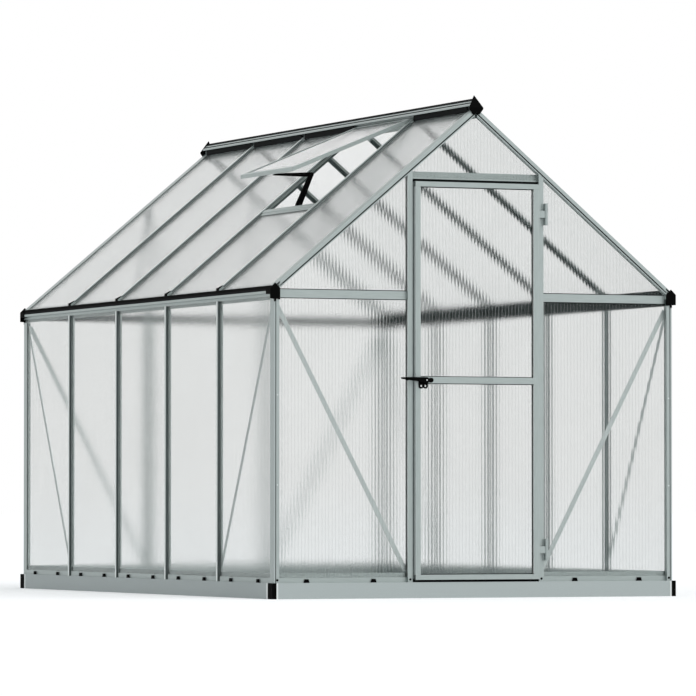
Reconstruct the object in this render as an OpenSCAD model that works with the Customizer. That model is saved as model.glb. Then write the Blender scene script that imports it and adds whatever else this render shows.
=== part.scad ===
// Polycarbonate greenhouse: aluminium sections carry twin-wall sheets in their slots, on a steel base.
// X runs across the door end, Y from the door end to the back, Z up.
// The origin is on the ground in the middle.

/* [Overall] */
// Width over the base corner caps, across the door end
base_width = 1850; // [1600:10:2400]
// Length over the base corner caps
base_length = 3050; // [2400:10:4200]
// Height of the base rails
base_h = 66; // [50:1:120]
// How far the wall faces stand in from the base corner caps
wall_inset = 12; // [10:1:24]
// Height where the outer face of the roof meets the outer face of the wall
eave_h = 1287; // [1100:1:1500]
// Height where the outer faces of the two roof slopes meet
apex_h = 2046; // [1900:1:2300]
// Number of bays along each long wall
bays = 5; // [3:1:7]

/* [Sheets] */
// Thickness of the twin-wall sheets
sheet_t = 4; // [3:0.5:8]
// Play between a sheet and the slot it sits in, on each face
sheet_play = 0.3; // [0.2:0.05:0.8]
// Play between the edge of a sheet and the bottom of its slot
edge_play = 1.5; // [1:0.25:3]

/* [Aluminium sections] */
// Thickness of the flanges of every section
flange_t = 2; // [1.5:0.25:3]
// Width of the flanges of studs and roof bars
bar_w = 40; // [30:1:50]
// Thickness of the web between two sheets
web_t = 4; // [2:0.5:6]
// Depth of studs, roof bars and cross rails from their outer face
bar_d = 22; // [16:1:30]
// Width of the rib along the outer flange
rib_w = 13; // [8:0.5:18]
// Height of the rib along the outer flange
rib_h = 5.5; // [3:0.25:8]
// How far the gable sheets' outer flanges stand behind the faces of posts, jambs and rafters
gable_in = 15; // [12:1:20]
// Width of the corner post's face on the gable
post_gable_w = 24; // [22:1:40]
// Width of the corner post's flange on the long wall
post_side_w = 40; // [38:1:56]
// Size of the corner post's square core
post_core = 14; // [12:1:20]
// Distance from the corner to the open channel in the corner post's face
channel_x = 6.5; // [5:0.5:8]
// Width of the open channel in the corner post's face
channel_w = 3.5; // [2:0.25:4]
// Depth of a gable rafter below the outer face of the roof
rafter_d = 24; // [18:1:34]
// Width of a gable rafter's flange on the roof
rafter_w = 46; // [42:1:60]
// Depth of a gable rafter's open channel below the outer face of the roof
rafter_channel = 14.5; // [6:0.5:15]
// Width of a gable rafter's open channel
rafter_channel_w = 5; // [2:0.5:6]
// Depth of a gable rafter's core behind the outer flange of its slot
rafter_core = 12; // [10:1:18]
// Height of the cross rails at eave level
cross_rail_h = 34; // [26:1:50]
// Drop from the eave height to the top of the cross rails
cross_rail_drop = 14; // [10:1:30]
// Height of a sill strip's outer flange
sill_h = 21; // [14:1:30]
// Height of a sill strip's inner flange
sill_in_h = 40; // [24:1:50]

/* [Eave and ridge] */
// How far the gutter stands out from the wall face
gutter_out = 15; // [10:1:30]
// Height of the gutter's outer wall
gutter_h = 19; // [12:1:26]
// Drop from the eave height to the underside of the gutter
gutter_drop = 31; // [28:1:45]
// Height of the lip that holds the wall sheets outside
lip_h = 13; // [8:1:20]
// Height of the lip that holds the wall sheets inside
lip_in_h = 26; // [14:1:40]
// How far the eave beam reaches in from the wall face
eave_in = 26; // [20:1:36]
// Thickness of the black strip that stops the roof sheets
strip_t = 5; // [3:0.5:8]
// Width of the ridge beam's body
ridge_body_w = 16; // [12:1:30]
// Width of the ridge beam's cover
ridge_cover_w = 48; // [40:1:64]
// Rise of the ridge beam's cover above the roof apex
ridge_rise = 39; // [34:1:50]
// Rise of the cover's lower edges above the roof apex
ridge_edge = 12; // [10:1:16]
// Height of the lips at the cover's lower edges
ridge_lip = 5; // [3:0.5:8]
// Thickness of the cover over its grooves
ridge_t = 5; // [4:0.5:7]
// Depth of the groove along each side of the cover
ridge_groove = 2.5; // [1.5:0.25:3]
// Drop of the ridge beam's body below the roof apex
ridge_drop = 44; // [40:1:70]
// Rise of the black strip and of the roof bar clips over the eave height
strip_rise = 1; // [0.5:0.25:3]
// Thickness of the black end caps
cap_t = 3; // [2:0.5:5]
// Thickness of the end caps' faces
cap_face_t = 5; // [3:0.5:8]
// Rise of the eave caps' point over the eave height
cap_peak = 12; // [6:1:20]
// Drop of the eave caps below the sheet lip
cap_drop = 13; // [10:1:20]
// Width and drop of the tab under an eave cap
cap_tab = 8; // [5:1:14]
// Length of the eave end caps along the beams
cap_len = 45; // [30:1:70]
// Half the width of the ridge end caps
ridge_cap_x = 32; // [30:1:44]
// Height of the ridge end caps' point above the roof apex
ridge_cap_rise = 52; // [48:1:64]
// Drop of the ridge end caps' feet below the roof apex
ridge_cap_drop = 28; // [20:1:38]
// How far the ridge end caps lean back from foot to point
ridge_cap_lean = 22; // [10:1:28]

/* [Base] */
// Sheet thickness of the base rails
base_t = 2; // [1.5:0.25:3]
// Width of the base rails' top flange
base_top_w = 45; // [42:1:70]
// Width of the base rails' foot flange
base_foot_w = 32; // [30:1:45]
// Width of a corner cap's leg on the door end
corner_cap_w = 19; // [14:1:40]
// Height of the lip along the inner edge of the base rails' top flange
base_lip_h = 10; // [6:1:20]
// Diameter of the anchor holes in the foot flanges
anchor_d = 9; // [6:0.5:12]
// Distance from the end of the base to the anchor holes
anchor_end = 275; // [150:5:500]

/* [Braces and clips] */
// Width of the flat braces
brace_w = 20; // [14:1:30]
// Thickness of the flat braces
brace_t = 2; // [1.5:0.25:4]
// Width of the clips at the feet of the wall sheets
clip_w = 24; // [16:1:36]
// Height of the clips at the feet of the wall sheets
clip_h = 15; // [10:1:20]
// Depth of the clips at the feet of the wall sheets
clip_d = 7; // [5:0.5:8]
// Rise of the black wedges at the feet of the roof bars over the eave height
wedge_h = 13; // [11:0.5:18]
// Width and length of the black wedges
wedge_w = 20; // [16:1:30]

/* [Door] */
// Width of the door leaf
door_w = 566; // [480:2:700]
// How far the door leaf stands out from the jambs
door_out = 15; // [10:1:20]
// Gap between the door leaf and what surrounds it
door_gap = 7; // [6:0.5:10]
// Gap under the door leaf
door_foot_gap = 10; // [6:1:20]
// Gap over the door leaf
door_head_gap = 7.5; // [6:0.5:14]
// Width of the door jambs
jamb_w = 21.5; // [20:0.5:40]
// Width of the door stiles
stile_w = 23; // [20:1:45]
// Height of the door's top and bottom rail
door_rail_h = 21; // [19:1:40]
// Height of the door's middle rail
mid_rail_h = 27; // [22:1:40]
// Height of the middle of the door's middle rail
mid_rail_z = 905; // [700:5:1100]
// Width of the chamber behind the sheet's edge in jambs, stiles and rails
tube_w = 10; // [8:0.5:12]

/* [Hinges and latch] */
// Height of a hinge
hinge_h = 91; // [60:1:120]
// Diameter of the hinge barrels
barrel_d = 14; // [10:0.5:18]
// Diameter of the hinge pins
pin_d = 6; // [4:0.5:8]
// Radial play of a pin in its bore
pin_play = 0.05; // [0.02:0.01:0.1]
// Distance from the hinge pin to the jamb's face
pin_out = 12; // [11:0.5:14]
// Thickness of the door's hinge leaves
hinge_leaf_t = 4; // [3:0.5:6]
// Thickness of the jamb's hinge leaves
jamb_leaf_t = 3; // [2:0.5:4]
// Height of the middle of the lower hinge
low_hinge_z = 199; // [170:1:400]
// Drop from the top of the door to the middle of the upper hinge
top_hinge_drop = 125; // [100:1:300]
// Distance from the stile's inner edge to the lever's pivot
latch_in = 20; // [14:1:30]
// Thickness of the latch plate
latch_plate_t = 4; // [3:0.5:6]
// Gap between the latch plate and the lever
latch_gap = 5.3; // [5:0.1:8]
// Thickness of the latch lever
lever_t = 8; // [6:0.5:12]
// Length of the latch lever from its pivot
lever_len = 84; // [60:1:100]
// Height of the latch lever
lever_h = 18; // [12:1:24]
// Diameter of the lever's thumb knob
knob_d = 20; // [14:1:28]
// Diameter of the round eyes of the latch plate
eye_d = 22; // [16:1:28]
// Diameter of the hole in a padlock eye
eye_hole_d = 9; // [6:0.5:12]
// Drop from the lever's pivot to the padlock eyes
eye_drop = 24; // [16:1:34]
// Distance between the padlock eyes
eye_pitch = 19; // [14:1:28]
// Diameter of the lever's pivot
pivot_d = 8; // [6:0.5:12]
// Length of the keeper beside the jamb
keeper_len = 26; // [16:1:40]
// Thickness of the keeper
keeper_t = 8; // [5:0.5:12]

/* [Roof vent] */
// Number of the bay of the left slope that has the vent, counted from the door end
vent_bay = 2; // [2:1:4]
// Distance of the vent sill from the middle plane
vent_sill_x = 466; // [350:1:600]
// Width of the vent sill up the slope
vent_sill_w = 14; // [10:1:30]
// Rise of the vent sill above the roof
vent_sill_h = 4; // [3:0.5:12]
// Lap of the vent sill over the sheet below it
vent_sill_lap = 10; // [8:1:20]
// Angle by which the vent stands open from the roof
vent_open = 17.5; // [8:0.25:25]
// Width of the vent's side rails
vent_rail_w = 20; // [14:1:30]
// Depth of the vent's rails
vent_rail_d = 16; // [12:1:26]
// Overhang of the vent past its sill, with the vent shut
vent_over = 2; // [0:1:30]
// Distance of the stay from the middle of the vent bay, towards the door end
stay_off = 60; // [0:5:150]
// Thickness of the stay
stay_t = 12; // [8:1:20]
// Width of the stay's arms
stay_w = 20; // [12:1:24]
// Width of the stay at its tip
stay_tip_w = 8; // [6:0.5:12]
// Distance from the vent sill to the stay's elbow
stay_elbow = 72; // [40:1:110]

/* [Hidden] */
$fn = 48;
// Seating gap between pieces that touch
seat = 0.3;
// Outer faces of the walls
xw = base_width / 2 - wall_inset;
yw = base_length / 2 - wall_inset;
// Roof pitch from the two heights
pitch = atan((apex_h - eave_h) / xw);
// Depths of a sheet and of the inner flange behind the outer face of a section
sheet_0 = flange_t + sheet_play;
sheet_1 = sheet_0 + sheet_t;
inner_0 = sheet_1 + sheet_play;
inner_1 = inner_0 + flange_t;
// Plane of the gable sheets' outer flanges, depth of the sections that hold the gable and door sheets
yg = yw - gable_in;
frame_d = gable_in + inner_1;
// Base
rail_x = base_width / 2 - base_t;
rail_y = base_length / 2 - base_t;
anchor_y = base_length / 2 - anchor_end;
// Bays along the long walls
bay_end = yw - post_core;
bay_l = 2 * bay_end / bays;
// Inner end of the corner posts' core
post_end = yw - frame_d;
// Eave beam
gutter_z = eave_h - gutter_drop;
lip_z = gutter_z - lip_h;
lip_in_z = gutter_z - lip_in_h;
eave_x0 = xw - eave_in;
strip_z = eave_h + strip_rise;
seat_n = inner_1 + seat;
// Ridge beam
roof_x0 = ridge_body_w / 2 + seat;
cover_x = ridge_cover_w / 2;
cover_z1 = apex_h + ridge_rise;
cover_z0 = apex_h + ridge_edge;
cover_run = norm([cover_x, ridge_rise - ridge_edge]);
ridge_tilt = atan(ridge_cap_lean / ridge_cap_rise);
// Cross rails
rail_z1 = eave_h - cross_rail_drop;
rail_z0 = rail_z1 - cross_rail_h;
rail_zm = (rail_z0 + rail_z1) / 2;
// Jambs, header and door leaf
jamb_x0 = door_w / 2 + door_gap;
jamb_x1 = jamb_x0 + jamb_w;
jamb_xm = (jamb_x0 + jamb_x1) / 2;
header_drop = 18;
header_out_h = 10;
header_in_h = 35;
header_z0 = roof_z(jamb_x1, rafter_d) - header_drop;
door_z0 = base_h + door_foot_gap;
door_z1 = header_z0 - door_head_gap;
stile_x = door_w / 2 - stile_w;
mid_z0 = mid_rail_z - mid_rail_h / 2;
mid_z1 = mid_rail_z + mid_rail_h / 2;
// Front of the door leaf
door_y = -yw - door_out;
// Sheets of the gables
wall_sheet_z0 = base_h + flange_t + seat;
wall_sheet_z1 = rail_zm - web_t / 2 - edge_play;
gable_sheet_z0 = rail_zm + web_t / 2 + seat;
corner_x = xw - post_core - edge_play;
// Depth of a gable sheet's sloping edge below the outer face of the roof
gable_sheet_n = flange_t + edge_play;
// Braces: depth of their inner face, heights of their ends and how far they lap on to the flanges
brace_in = inner_1 + brace_t;
brace_z1 = lip_in_z - brace_w;
brace_z0 = base_h + sill_in_h + brace_w / 2;
brace_lap = brace_w / 2;
brace_edge = brace_w / 10;
// Hinges
hinge_x = jamb_x1 + barrel_d / 2;
hinge_y = -yw - pin_out;
hinge_zs = [low_hinge_z, door_z1 - top_hinge_drop];
knuckle_h = hinge_h / 3;
knuckle_play = 0.5;
// Latch: pivot, faces of the lever, distance from the pivot to the knob
latch_x = -stile_x + latch_in;
latch_z = mid_rail_z - 1;
lever_y1 = door_y - latch_plate_t - latch_gap;
lever_y0 = lever_y1 - lever_t;
hub_r = lever_h / 2 + 3;
knob_x = hub_r + knob_d / 2 - 1;
// How far a cut goes past the face that it opens
cut = 1;
// Vent
bay_y0 = stud_y(vent_bay - 1);
bay_y1 = stud_y(vent_bay);
vent_ym = (bay_y0 + bay_y1) / 2;
vent_half = bay_l / 2 - rib_w / 2 - seat;
sill_x0 = vent_sill_x - vent_sill_w / 2;
sill_x1 = vent_sill_x + vent_sill_w / 2;
vent_slope = pitch - vent_open;
vent_hx = roof_x0;
vent_hz = roof_z(vent_hx, 0) + inner_1 / cos(vent_slope) + seat;
vent_len = (sill_x1 + vent_over - vent_hx) / cos(pitch);
vent_x1 = vent_hx + vent_len * cos(vent_slope);
vent_apex = vent_hz + vent_hx * tan(vent_slope);
// The vent's side skirts start where they clear the roof bars below them
vent_skirt_x = vent_hx + vent_rail_d / sin(vent_open) * cos(pitch);

aluminium = [0.68, 0.73, 0.71];
steel = [0.62, 0.67, 0.65];
black = [0.06, 0.06, 0.065];
clear_sheet = [0.86, 0.88, 0.87, 0.6];

// Height of the roof at a distance from the middle plane and a depth below its outer face
function roof_z(x, n) = apex_h - abs(x) * tan(pitch) - n / cos(pitch);
function vent_z(x, n) = vent_apex - abs(x) * tan(vent_slope) - n / cos(vent_slope);
function stud_y(i) = -bay_end + i * bay_l;
// Ends of the sheet and of the sill strip in a bay of a long wall, bays counted from 0
function sheet_y0(i) = i == 0 ? -post_end + edge_play : stud_y(i) + web_t / 2 + edge_play;
function sheet_y1(i) = i == bays - 1 ? post_end - edge_play : stud_y(i + 1) - web_t / 2 - edge_play;
function strip_y0(i) = i == 0 ? -yw + post_side_w : stud_y(i) + bar_w / 2;
function strip_y1(i) = i == bays - 1 ? yw - post_side_w : stud_y(i + 1) - bar_w / 2;
function roof_sheet_y0(i) = i == 0 ? -yg + rafter_core + edge_play : sheet_y0(i);
function roof_sheet_y1(i) = i == bays - 1 ? yg - rafter_core - edge_play : sheet_y1(i);
// An outline given from its top middle to its bottom middle, closed by its mirror image
function mirrored(p) = concat(p, [for (i = [len(p) - 1:-1:0]) if (p[i][0] != 0) [-p[i][0], p[i][1]]]);

module box(a, b) { translate(a) cube(b - a); }
module rect(a, b) { translate(a) square(b - a); }
// Sections drawn in X and Z carried along Y, in Y and Z carried along X, in X and Y carried along Z
module along_y(y0, y1) { translate([0, y1, 0]) rotate([90, 0, 0]) linear_extrude(y1 - y0) children(); }
module along_x(x0, x1) { translate([x0, 0, 0]) rotate([90, 0, 90]) linear_extrude(x1 - x0) children(); }
module along_z(z0, z1) { translate([0, 0, z0]) linear_extrude(z1 - z0) children(); }
module both_sides() { children(); mirror([1, 0, 0]) children(); }
module both_ends() { children(); mirror([0, 1, 0]) children(); }
module left() { mirror([1, 0, 0]) children(); }

// A layer of the right roof slope with upright ends, from depth n0 to n1
module roof_layer(x0, x1, n0, n1, y0, y1) {
    along_y(y0, y1)
        polygon([[x0, roof_z(x0, n0)], [x1, roof_z(x1, n0)], [x1, roof_z(x1, n1)], [x0, roof_z(x0, n1)]]);
}
module vent_layer(x0, x1, n0, n1, y0, y1) {
    along_y(y0, y1)
        polygon([[x0, vent_z(x0, n0)], [x1, vent_z(x1, n0)], [x1, vent_z(x1, n1)], [x0, vent_z(x0, n1)]]);
}

// Base

module base_section() {
    rect([0, 0], [base_t, base_h]);
    rect([0, base_h - base_t], [base_top_w, base_h]);
    rect([0, 0], [base_foot_w, base_t]);
    rect([base_top_w - base_t, base_h - base_lip_h], [base_top_w, base_h]);
}

module base_end_rail() { along_x(-rail_x, rail_x) translate([-rail_y, 0]) base_section(); }
module base_side_rail() {
    difference() {
        along_y(-rail_y + base_top_w, rail_y - base_top_w)
            translate([rail_x, 0]) mirror([1, 0]) base_section();
        for (s = [-1, 1]) translate([rail_x - base_foot_w / 2, s * anchor_y, -cut])
            cylinder(d = anchor_d, h = base_t + 2 * cut);
    }
}
module base_front_rail() { color(steel) base_end_rail(); }
module base_back_rail() { color(steel) mirror([0, 1, 0]) base_end_rail(); }
module base_right_rail() { color(steel) base_side_rail(); }
module base_left_rail() { color(steel) left() base_side_rail(); }

module base_corner_caps() {
    color(black) both_sides() both_ends() along_z(0, base_h) {
        rect([-base_width / 2, -base_length / 2], [-base_width / 2 + corner_cap_w, -rail_y]);
        rect([-base_width / 2, -base_length / 2], [-rail_x, -rail_y + base_top_w + base_t]);
    }
}

// Wall frame

// A stud or roof bar in its own section: across, and in from its outer face
module bar_outer() {
    rect([-bar_w / 2, 0], [bar_w / 2, flange_t]);
    rect([-rib_w / 2, -rib_h], [rib_w / 2, 0]);
    rect([-web_t / 2, 0], [web_t / 2, inner_0]);
}
module bar_inner() {
    rect([-bar_w / 2, inner_0], [bar_w / 2, inner_1]);
    rect([-web_t / 2, inner_0], [web_t / 2, bar_d]);
}

module side_stud(y) {
    along_z(base_h, lip_z) translate([xw, y]) rotate(90) bar_outer();
    along_z(base_h, lip_in_z) translate([xw, y]) rotate(90) bar_inner();
}
module side_studs() { for (i = [1:bays - 1]) side_stud(stud_y(i)); }
module right_wall_studs() { color(aluminium) side_studs(); }
module left_wall_studs() { color(aluminium) left() side_studs(); }

// The upright in its own section stands at x0 under the door end's right rafter, its top cut to the slope
module gable_upright(x0) {
    difference() {
        along_z(base_h, roof_z(x0, rafter_d)) children();
        roof_layer(roof_x0, eave_x0, -2 * rafter_d, rafter_d + seat, -yw - bar_d, -yw + 2 * bar_d);
    }
}
module back_wall_studs() {
    color(aluminium) mirror([0, 1, 0]) both_sides() gable_upright(jamb_xm - bar_w / 2)
        translate([jamb_xm, -yg]) {
            bar_outer();
            bar_inner();
        }
}

// Corner post seen from above, with its corner at the origin, the gable along X and the long wall along Y
module post_section() {
    difference() {
        union() {
            rect([0, 0], [post_core, frame_d]);
            rect([0, 0], [post_gable_w, flange_t]);
        }
        rect([flange_t, flange_t], [post_core - flange_t, frame_d - flange_t]);
        rect([channel_x, -cut], [channel_x + channel_w, flange_t + cut]);
    }
    rect([post_gable_w - flange_t, 0], [post_gable_w, gable_in + flange_t]);
    rect([post_core - flange_t, gable_in], [post_gable_w, gable_in + flange_t]);
    rect([post_core - flange_t, gable_in + inner_0], [post_gable_w, frame_d]);
    rect([0, 0], [flange_t, post_side_w]);
    rect([inner_0, frame_d - flange_t], [inner_1, post_side_w]);
}
module corner_posts() {
    color(aluminium) both_sides() both_ends() along_z(base_h, lip_in_z)
        translate([-xw, -yw]) post_section();
}

// Box section of jambs, stiles and door rails: chamber at its outer edge, raised face, slot for a sheet.
// X runs from the outer edge towards the sheet, Y in from the face.
module box_section(w) {
    difference() {
        rect([0, 0], [tube_w, frame_d]);
        rect([flange_t, flange_t], [tube_w - flange_t, frame_d - flange_t]);
    }
    rect([0, 0], [w, flange_t]);
    rect([w - flange_t, 0], [w, gable_in + flange_t]);
    rect([tube_w - flange_t, gable_in], [w, gable_in + flange_t]);
    rect([tube_w - flange_t, gable_in + inner_0], [w, frame_d]);
}
module door_jambs() {
    color(aluminium) both_sides() gable_upright(jamb_x0) translate([jamb_x0, -yw]) box_section(jamb_w);
}

module door_header() {
    color(aluminium) along_x(-jamb_x0, jamb_x0) translate([-yg, header_z0]) {
        rect([0, 0], [flange_t, header_out_h]);
        rect([0, 0], [inner_1, flange_t]);
        rect([inner_0, 0], [inner_1, header_in_h]);
    }
}

// Cross rail in depth and height: the sheets below and above it meet at its web
module cross_section() {
    rect([0, rail_z0], [flange_t, rail_z1]);
    rect([inner_0, rail_z0], [inner_1, rail_z1]);
    rect([0, rail_zm - web_t / 2], [bar_d, rail_zm + web_t / 2]);
}
module front_cross_rails() {
    color(aluminium) both_sides() along_x(jamb_x1, eave_x0) translate([-yg, 0]) cross_section();
}
module back_cross_rails() {
    color(aluminium) mirror([0, 1, 0]) {
        both_sides() along_x(jamb_xm + bar_w / 2, eave_x0) translate([-yg, 0]) cross_section();
        along_x(-jamb_xm + bar_w / 2, jamb_xm - bar_w / 2) translate([-yg, 0]) cross_section();
    }
}

// Sill strip in depth and height: a slot for the foot of the wall sheets
module sill_section() {
    rect([0, 0], [flange_t, sill_h]);
    rect([0, 0], [inner_1, flange_t]);
    rect([inner_0, 0], [inner_1, sill_in_h]);
}
module side_wall_sills() {
    color(aluminium) both_sides() for (i = [0:bays - 1])
        along_y(strip_y0(i), strip_y1(i)) translate([xw, base_h]) mirror([1, 0]) sill_section();
}
module gable_wall_sills() {
    color(aluminium) {
        both_sides() along_x(jamb_x1, xw - post_gable_w) translate([-yg, base_h]) sill_section();
        mirror([0, 1, 0]) {
            both_sides() along_x(jamb_xm + bar_w / 2, xw - post_gable_w)
                translate([-yg, base_h]) sill_section();
            along_x(-jamb_xm + bar_w / 2, jamb_xm - bar_w / 2) translate([-yg, base_h]) sill_section();
        }
    }
}

// A clip stands on the base ledge against the sill strip, tapered to its top
module foot_clip(x) {
    along_y(-yg - clip_d, -yg)
        polygon([[x - clip_w / 2, base_h], [x + clip_w / 2, base_h], [x + clip_w / 3, base_h + clip_h],
            [x - clip_w / 3, base_h + clip_h]]);
}
module panel_foot_clips() {
    color(black) {
        both_sides() for (i = [0:bays - 1], s = [-1, 1])
            translate([xw - yg, (stud_y(i) + stud_y(i + 1)) / 2 + s * bay_l / 4, 0])
                rotate(90) foot_clip(0);
        both_ends() both_sides() for (s = [-1, 1])
            foot_clip((jamb_x1 + xw) / 2 + s * (xw - jamb_x1) / 4);
    }
}

// A flat brace between two points of a wall, given across and up, on the inside of the sections
module brace(a, b) {
    run = norm(b - a);
    side = [a[1] - b[1], b[0] - a[0]] / run * brace_w / 2;
    polygon([a + side, b + side, b - side, a - side]);
}
module side_brace() {
    translate([xw - brace_in, 0, 0]) rotate([90, 0, 90]) linear_extrude(brace_t)
        brace([-yw + post_side_w - brace_lap / 2, brace_z1], [stud_y(1) - web_t / 2 - brace_lap, brace_z0]);
}
module end_brace(foot_x) {
    along_y(-yg + inner_1, -yg + brace_in)
        brace([xw - post_gable_w + brace_edge, brace_z1], [foot_x + brace_edge, brace_z0]);
}
module side_wall_braces() { color(aluminium) both_sides() both_ends() side_brace(); }
module gable_wall_braces() {
    color(aluminium) both_sides() {
        end_brace(jamb_x1);
        mirror([0, 1, 0]) end_brace(jamb_xm + bar_w / 2);
    }
}

// Eave, ridge and roof frame

// Eave beam on the right: gutter outside and slot for the wall sheets below
module gutter_section() {
    rect([xw - inner_1, gutter_z], [xw + gutter_out, gutter_z + flange_t]);
    rect([xw + gutter_out - flange_t, gutter_z], [xw + gutter_out, gutter_z + gutter_h]);
    rect([xw + gutter_out - 2 * flange_t, gutter_z + gutter_h - flange_t],
        [xw + gutter_out, gutter_z + gutter_h]);
    rect([xw - flange_t, lip_z], [xw, gutter_z + flange_t]);
    rect([xw - inner_1, lip_in_z], [xw - inner_0, roof_z(xw - inner_0, seat_n + flange_t / 2)]);
}
// Sloping seat of the eave beam for the roof, with a flange down its inner edge
module roof_seat() {
    roof_layer(eave_x0, xw - flange_t, seat_n, seat_n + flange_t, -yw, yw);
    along_y(-yw, yw)
        rect([eave_x0, gutter_z + flange_t],
            [eave_x0 + flange_t, roof_z(eave_x0 + flange_t, seat_n + flange_t / 2)]);
}
module right_eave_beam() {
    color(aluminium) {
        along_y(-yw, yw) gutter_section();
        roof_seat();
    }
}
module left_eave_beam() { color(aluminium) left() right_eave_beam(); }

// Black strip that stands in the gutter against the ends of the roof sheets
module eave_strips() {
    color(black) both_sides() along_y(-yw, yw)
        rect([xw + seat, gutter_z + flange_t], [xw + seat + strip_t, strip_z]);
}

// Eave end cap: a house-shaped face with a skirt round the gutter and a tab on the post
module eave_cap() {
    x0 = eave_x0;
    x1 = xw + gutter_out + cap_t;
    z0 = lip_z - cap_drop;
    z1 = gutter_z + gutter_h + flange_t;
    along_y(-yw - cap_face_t, -yw) {
        polygon([[x0, z0], [x1, z0 + 2 * flange_t], [x1, z1],
            [(x0 + x1) / 2, eave_h + cap_peak], [x0, z1]]);
        rect([xw - cap_tab, z0 - cap_tab], [xw, z0 + flange_t]);
    }
    along_y(-yw - cap_face_t, -yw + cap_len) {
        rect([xw + gutter_out + seat, gutter_z - cap_t], [x1, z1]);
        rect([xw + seat, gutter_z - cap_t], [x1, gutter_z - seat]);
    }
}
module eave_end_caps() { color(black) both_sides() both_ends() eave_cap(); }

// A point of the ridge cover's right side: part of the way down, and depth below its face
function cover_at(part, n) = [part * cover_x, cover_z1 - part * (ridge_rise - ridge_edge)]
    - [ridge_rise - ridge_edge, cover_x] * n / cover_run;
// Space in front of a plane that leans back from the apex at the door end, for s = -1, or behind it
module lean_space(y, s) {
    w = 3 * ridge_cap_rise;
    translate([0, y, apex_h]) rotate([-ridge_tilt, 0, 0])
        box([-w, min(0, s * w), 0], [w, max(0, s * w), w]);
}
module ridge_beam() {
    body_x = ridge_body_w / 2;
    in_x = cover_x - flange_t;
    core_z = apex_h - ridge_drop / 2;
    color(aluminium) difference() {
        along_y(-yw, yw) polygon(mirrored([[0, cover_z1], cover_at(0.6, 0), cover_at(0.6, ridge_groove),
            cover_at(0.8, ridge_groove), cover_at(0.8, 0), [cover_x, cover_z0],
            [cover_x, cover_z0 - ridge_lip], [in_x, cover_z0 - ridge_lip],
            [in_x, cover_at(1, ridge_t)[1]], [body_x, cover_at(0.4, ridge_t)[1]],
            [body_x, apex_h - ridge_drop], [body_x - flange_t, apex_h - ridge_drop],
            [body_x - flange_t, core_z], [0, core_z]]));
        both_ends() lean_space(-yw, -1);
    }
}

// Ridge end cap: a kite that leans back from the apex to its point, with a forked foot
module ridge_cap() {
    foot_z = apex_h - ridge_cap_drop;
    foot_x = ridge_cap_x / 2;
    y0 = -yw - cap_face_t;
    along_y(y0, -yw) polygon(mirrored([[0, apex_h], [ridge_cap_x, apex_h],
        [ridge_cap_x, apex_h - 2 * cap_t], [foot_x, foot_z], [foot_x / 2, foot_z],
        [0, foot_z + foot_x / 2]]));
    difference() {
        along_y(y0, -yw + ridge_cap_lean)
            polygon([[0, apex_h + ridge_cap_rise], [ridge_cap_x, apex_h], [-ridge_cap_x, apex_h]]);
        lean_space(y0, -1);
        lean_space(-yw, 1);
    }
}
module ridge_end_caps() { color(black) both_ends() ridge_cap(); }

// Gable rafter: a flange on the roof, a box with an open channel on the gable, slots for both sheets
module gable_rafter() {
    channel = rafter_channel + rafter_channel_w;
    roof_layer(roof_x0, xw, 0, flange_t, -yw, -yw + rafter_w);
    roof_layer(roof_x0, eave_x0, 0, rafter_channel, -yw, -yw + flange_t);
    roof_layer(roof_x0, eave_x0, channel, rafter_d, -yw, -yw + flange_t);
    roof_layer(roof_x0, eave_x0, rafter_d - flange_t, rafter_d, -yw, -yg + flange_t);
    roof_layer(roof_x0, eave_x0, 0, rafter_d, -yg, -yg + flange_t);
    roof_layer(roof_x0, eave_x0, 0, rafter_d, -yg + inner_0, -yg + rafter_core);
    roof_layer(roof_x0, xw, inner_0, inner_1, -yg + inner_0, -yw + rafter_w);
}
module front_gable_rafters() { color(aluminium) both_sides() gable_rafter(); }
module back_gable_rafters() { color(aluminium) mirror([0, 1, 0]) both_sides() gable_rafter(); }

module roof_bar(y) {
    roof_layer(roof_x0, xw, 0, flange_t, y - bar_w / 2, y + bar_w / 2);
    roof_layer(roof_x0, xw, -rib_h, flange_t, y - rib_w / 2, y + rib_w / 2);
    roof_layer(roof_x0, xw, 0, inner_1, y - web_t / 2, y + web_t / 2);
    roof_layer(roof_x0, xw, inner_0, inner_1, y - bar_w / 2, y + bar_w / 2);
    roof_layer(roof_x0, eave_x0 - seat, 0, bar_d, y - web_t / 2, y + web_t / 2);
}
module roof_bars() { for (i = [1:bays - 1]) roof_bar(stud_y(i)); }
module right_roof_bars() { color(aluminium) roof_bars(); }
module left_roof_bars() { color(aluminium) left() roof_bars(); }

// Black wedge over the foot of each roof bar
module roof_bar_clips() {
    x0 = xw - wedge_w;
    half = wedge_w / 2;
    color(black) both_sides() for (i = [1:bays - 1]) along_y(stud_y(i) - half, stud_y(i) + half)
        polygon([[x0, roof_z(x0, -rib_h) + seat], [xw, eave_h + wedge_h], [xw + strip_t, eave_h + wedge_h],
            [xw + strip_t, strip_z], [xw, strip_z + seat], [xw, roof_z(xw, -rib_h) + seat]]);
}

// Sheets

module side_wall_panels() {
    for (i = [0:bays - 1]) box([xw - sheet_1, sheet_y0(i), base_h + flange_t + seat],
        [xw - sheet_0, sheet_y1(i), gutter_z - edge_play]);
}
module right_wall_panels() { color(clear_sheet) side_wall_panels(); }
module left_wall_panels() { color(clear_sheet) left() side_wall_panels(); }

module wall_sheet(x0, x1) {
    box([x0, -yg + sheet_0, wall_sheet_z0], [x1, -yg + sheet_1, wall_sheet_z1]);
}
// Side sheet of a gable: from a bar at x0 to the point where the slope meets the cross rail
module gable_side_sheet(x0) {
    x1 = eave_x0 - edge_play;
    along_y(-yg + sheet_0, -yg + sheet_1) polygon([[x0, gable_sheet_z0], [x1, gable_sheet_z0],
        [x1, roof_z(x1, gable_sheet_n)], [x0, roof_z(x0, gable_sheet_n)]]);
}
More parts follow.
